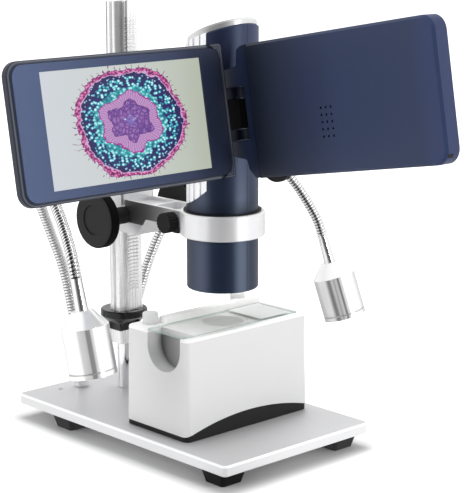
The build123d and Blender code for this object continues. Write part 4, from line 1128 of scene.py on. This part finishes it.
def add_gooseneck(side):
    """Wound hose of one lamp, in place of its plain tube."""
    length = distances_along(LINES[side])[-1]
    form = straight_coil(length)
    bend(form, LINES[side])
    bmesh.ops.remove_doubles(form, verts=form.verts, dist=MERGE_DISTANCE)
    hose = new_object(f"hose_{side}", form, wound)
    hose.data.shade_smooth()
    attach(hose, f"lamp_{side}")
    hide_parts(f"gooseneck_{side}")
    print(f"hose_{side}: {length * 1000:.1f} mm, {len(hose.data.polygons)} faces")


add_gooseneck("left")
add_gooseneck("right")

# %% [markdown]
# ## Corner blocks of the lid
# Beside the hinge the lid's corners are almost square, while its outer corners are round. The solid has
# four round corners, so two small prisms fill out the inner ones. Their outline is a short tangent arc
# between the two straight edges, and an extrusion gives it the lid's depth.

# %% Piece helper
def add_piece(name, form, material, body):
    """Turn a bmesh into an object that rides a body."""
    piece = new_object(name, form, material)
    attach(piece, body)
    print(f"{name}: {len(piece.data.polygons)} faces")


# %% Corner blocks
BLOCK_FRONT = -0.00105
BLOCK_BACK = 0.0043
ARC_STEPS = 5


def corner_outline(edge, sign):
    """Outline of one block in the leaf's own axes, from a level edge of the lid inward."""
    outline = [(LID_START + OUTER_CORNER, edge)]
    for index in range(ARC_STEPS + 1):
        angle = math.pi / 2 * index / ARC_STEPS
        along_edge = LID_START + TIGHT_CORNER * (1 - math.sin(angle))
        outline.append((along_edge, edge + sign * TIGHT_CORNER * (1 - math.cos(angle))))
    return outline + [(LID_START, edge + sign * OUTER_CORNER)]


def corner_blocks():
    """Two prisms that turn the lid's rounded corners beside the hinge into tight ones."""
    form = bmesh.new()
    for edge, sign in ((2 * LID_HALVES[1], -1), (0.0, 1)):
        low = [form.verts.new(LID @ Vector((x, y, BLOCK_FRONT))) for x, y in corner_outline(edge, sign)]
        raised = bmesh.ops.extrude_face_region(form, geom=[form.faces.new(low)])["geom"]
        moved = [item for item in raised if isinstance(item, bmesh.types.BMVert)]
        bmesh.ops.translate(form, verts=moved, vec=LID_OUT.cross(PIN_UP) * (BLOCK_BACK - BLOCK_FRONT))
    bmesh.ops.recalc_face_normals(form, faces=form.faces)
    return form


add_piece("lid_corners", corner_blocks(), lined_rim, "lid")

# %% [markdown]
# ## Strap slot
# The low outer corner of the second leaf has a narrow slot for a wrist strap. It is too small to be cut
# into the solid, where it would cost a new mesh of the whole leaf. A flat dark block that is set flush
# into the rounded corner reads as the opening: it is painted shade for the dark inside of the slot.

# %% Strap slot
SLOT_TURN = math.radians(-30.0)
SLOT_SIZE = (0.0003, 0.0018, 0.0032)
SLOT_CORNER = Vector((0.12415, 0.007, 0.0040))
SLOT_RADIUS = 0.00688


def strap_slot():
    """Flat dark block set into the rounded corner of the second leaf, as painted shade for the opening."""
    form = bmesh.new()
    outward = Vector((math.cos(SLOT_TURN), math.sin(SLOT_TURN), 0.0))
    place = Matrix.Translation(SLOT_CORNER + outward * SLOT_RADIUS)
    shape = Matrix.Rotation(SLOT_TURN, 4, "Z") @ Matrix.Diagonal((*SLOT_SIZE, 1.0))
    bmesh.ops.create_cube(form, size=1.0, matrix=WING @ place @ shape)
    return form


add_piece("strap_slot", strap_slot(), black, "wing")

# %% [markdown]
# ## Label on the slide
# The frosted end of the slide carries a plain white label. It could be a mask on the glass, but the
# glass is nearly transparent and has no thickness to spare, so the label is a thin sheet of its own,
# with rounded corners. It lies a hair above the glass, because two faces in one place would flicker.

# %% Slide label
LABEL_WIDTH = 0.021
LABEL_MARGIN = 0.0008
LABEL_INSET = 0.0135
LABEL_GAP = 0.00002
LABEL_THICKNESS = 0.00006
LABEL_CORNER = 0.001


def add_label():
    """Thin white label near the right end of the glass slide."""
    low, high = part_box("glass_slide")
    form = bmesh.new()
    bmesh.ops.create_grid(form, x_segments=1, y_segments=1, size=0.5)
    depth = high.y - low.y - 2 * LABEL_MARGIN
    middle = Vector((high.x - LABEL_INSET, (low.y + high.y) / 2, high.z + LABEL_GAP))
    bmesh.ops.transform(form, matrix=Matrix.Diagonal((LABEL_WIDTH, depth, 1.0, 1.0)), verts=form.verts)
    bmesh.ops.bevel(
        form, geom=form.verts[:], offset=LABEL_CORNER, segments=4, profile=0.5, affect="VERTICES", material=-1
    )
    bmesh.ops.solidify(form, geom=form.faces[:], thickness=-LABEL_THICKNESS)
    bmesh.ops.translate(form, verts=form.verts, vec=middle)
    paper = finish("label paper", (0.66, 0.67, 0.66), Roughness=0.6, Variation=0.05, bump=0.05)
    label = new_object("slide_label", form, paper)
    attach(label, "slide")
    print(f"slide_label: {LABEL_WIDTH * 1000:.0f} x {depth * 1000:.1f} mm")


add_label()

# %% [markdown]
# ## What bright metal mirrors
# Chrome and aluminium look like what stands round them. A plain white room makes them flat and grey, so
# the room is white at both sides and dark beside the viewer, which gives round metal its dark streak.
# Light cards could be set up as objects, but one ramp over the direction serves the floor and the
# surroundings alike. Only mirrored rays see it.

# %% Studio tone
TOWARD_VIEWER = ACROSS.cross(UP)
SIDES_AND_FRONT = [(0.30, 0.97), (0.86, 0.97), (0.90, 0.16), (0.96, 0.24), (1.0, 0.06)]


def ray(tree, kind):
    """1 where the surface answers a ray of one kind."""
    return Field(tree, tree.nodes.new("ShaderNodeLightPath").outputs[f"Is {kind} Ray"])


def seen_rays(tree):
    """1 where the viewer sees a surface directly or through glass."""
    return ray(tree, "Camera").math("MAXIMUM", ray(tree, "Transmission"))


def studio_tone(direction, behind):
    """White on both sides, a dark room beside the viewer and a chosen tone behind the object."""
    share = (vector_math("DOT_PRODUCT", direction, TOWARD_VIEWER) + 1.0) * 0.5
    return ramp(share, [(0.0, behind), (0.12, (1.0 + behind) / 2)] + SIDES_AND_FRONT)


print("toward the viewer:", [round(v, 3) for v in TOWARD_VIEWER])

# %% [markdown]
# ## Floor
# The object stands on a plain white sheet that has no edge or horizon. A white floor that is lit by
# lamps alone turns grey away from them. So the sheet glows a little, more strongly far out, and not
# under the base plate, where its shadow has to stay. Round the plate its colour is darker as well, a
# painted contact shadow.

# %% Floor finish
FLOOR_TONE = 0.92
# Painted contact shadow under and round the base plate.
PAINTED_SHADOW_TONE = 0.58
FLOOR_BEHIND = 0.45
PLATE_MIDDLE = Vector((OPTICAL.x, 0.0513, 0.0))
PLATE_HALVES = (0.0491, 0.0802)
PLATE_CORNER = 0.004
SHADOW_FADE = (-0.005, 0.014)
GLOW_DISTANCES = (0.25, 1.2)
GLOW_NEAR = 0.22
GLOW_FAR = 0.75


def floor_material():
    """Pale sheet that looks white, takes the object's shadow and has a painted shadow round the plate."""
    material = bpy.data.materials.new("pale floor")
    material.use_nodes = True
    tree = material.node_tree
    shader = tree.nodes["Principled BSDF"]
    shader.inputs["Roughness"].default_value = 0.6
    feed(1.0, shader.inputs["Emission Color"])
    place = object_coordinates(tree)
    far = fade(vector_math("LENGTH", place), *GLOW_DISTANCES, GLOW_NEAR, GLOW_FAR)
    values = [along(place, PLATE_MIDDLE, axis) for axis in (Vector((1, 0, 0)), Vector((0, 1, 0)))]
    open_floor = fade(outline_distance(values, PLATE_HALVES, PLATE_CORNER), *SHADOW_FADE, curve="SMOOTHSTEP")
    mirrored = ray(tree, "Glossy") * studio_tone(vector_math("NORMALIZE", place), FLOOR_BEHIND)
    feed(seen_rays(tree) * (far * open_floor) + mirrored, shader.inputs["Emission Strength"])
    color = mix(ray(tree, "Glossy"), mix(open_floor, PAINTED_SHADOW_TONE, FLOOR_TONE), 0.0)
    feed(color, shader.inputs["Base Color"])
    return material


# %% Floor
FLOOR_HALF = 6.0


def add_floor():
    """Large flat sheet under the object."""
    form = bmesh.new()
    bmesh.ops.create_grid(form, x_segments=1, y_segments=1, size=FLOOR_HALF)
    floor = new_object("floor", form, floor_material())
    print("floor:", 2 * FLOOR_HALF, "m wide")


add_floor()

# %% [markdown]
# ## Surroundings and lamps
# Soft light comes from a large panel at the left, a weaker one at the right, one behind and above, and the
# pale surroundings. One lamp would do for the shape, but its shadow would be hard and the far side of
# the head would be lost. Most panels stay out of the mirrors; two narrow strips are seen in them and
# draw a thin bright line down each round piece.

# %% Surroundings
EVEN_LIGHT = 0.48


def make_world():
    """Pale surroundings that darken toward the viewer, so that bright metal gets a dark streak."""
    world = bpy.data.worlds.new("studio")
    bpy.context.scene.world = world
    world.use_nodes = True
    tree = world.node_tree
    background = tree.nodes["Background"]
    feed(1.0, background.inputs["Color"])
    direction = Field(tree, tree.nodes.new("ShaderNodeTexCoord").outputs["Generated"])
    mirrored = ray(tree, "Glossy") * studio_tone(direction, 1.0)
    even = ray(tree, "Diffuse") * EVEN_LIGHT
    feed(seen_rays(tree) + mirrored + even, background.inputs["Strength"])


make_world()
print("surroundings:", bpy.context.scene.world.name)

# %% Panel helper
PANEL_AIM = Vector((0.0, 0.0, 0.10))


def add_panel(name, turn, rise, distance, width, height, power, mirrored=False):
    """Tall soft panel at a bearing from the front (-Y), facing the object."""
    light = bpy.data.lights.new(name, "AREA")
    light.shape = "RECTANGLE"
    light.size = width
    light.size_y = height
    light.energy = power
    panel = bpy.data.objects.new(name, light)
    bearing = math.radians(turn)
    place = PANEL_AIM + Vector((math.sin(bearing) * distance, -math.cos(bearing) * distance, rise))
    panel.location = place
    panel.rotation_euler = (PANEL_AIM - place).to_track_quat("-Z", "Y").to_euler()
    panel.visible_glossy = mirrored
    bpy.context.scene.collection.objects.link(panel)


# %% Panels and bright strips
STRIP = {"rise": 0.2, "distance": 1.3, "height": 1.2, "mirrored": True}

add_panel("left panel", turn=-100.0, rise=0.6, distance=1.2, width=0.8, height=1.2, power=7.4)
add_panel("front panel", turn=2.0, rise=0.5, distance=1.2, width=0.5, height=1.2, power=0.8)
add_panel("front strip", turn=9.0, width=0.07, power=8.5, **STRIP)
add_panel("left strip", turn=-114.0, width=0.16, power=1.2, **STRIP)
add_panel("right panel", turn=60.0, rise=0.6, distance=1.3, width=0.6, height=1.0, power=5.0)
add_panel("top panel", turn=150.0, rise=1.3, distance=0.5, width=0.7, height=0.7, power=12.0)
bpy.context.scene.view_settings.view_transform = "Standard"
print("lights:", len(bpy.data.lights))
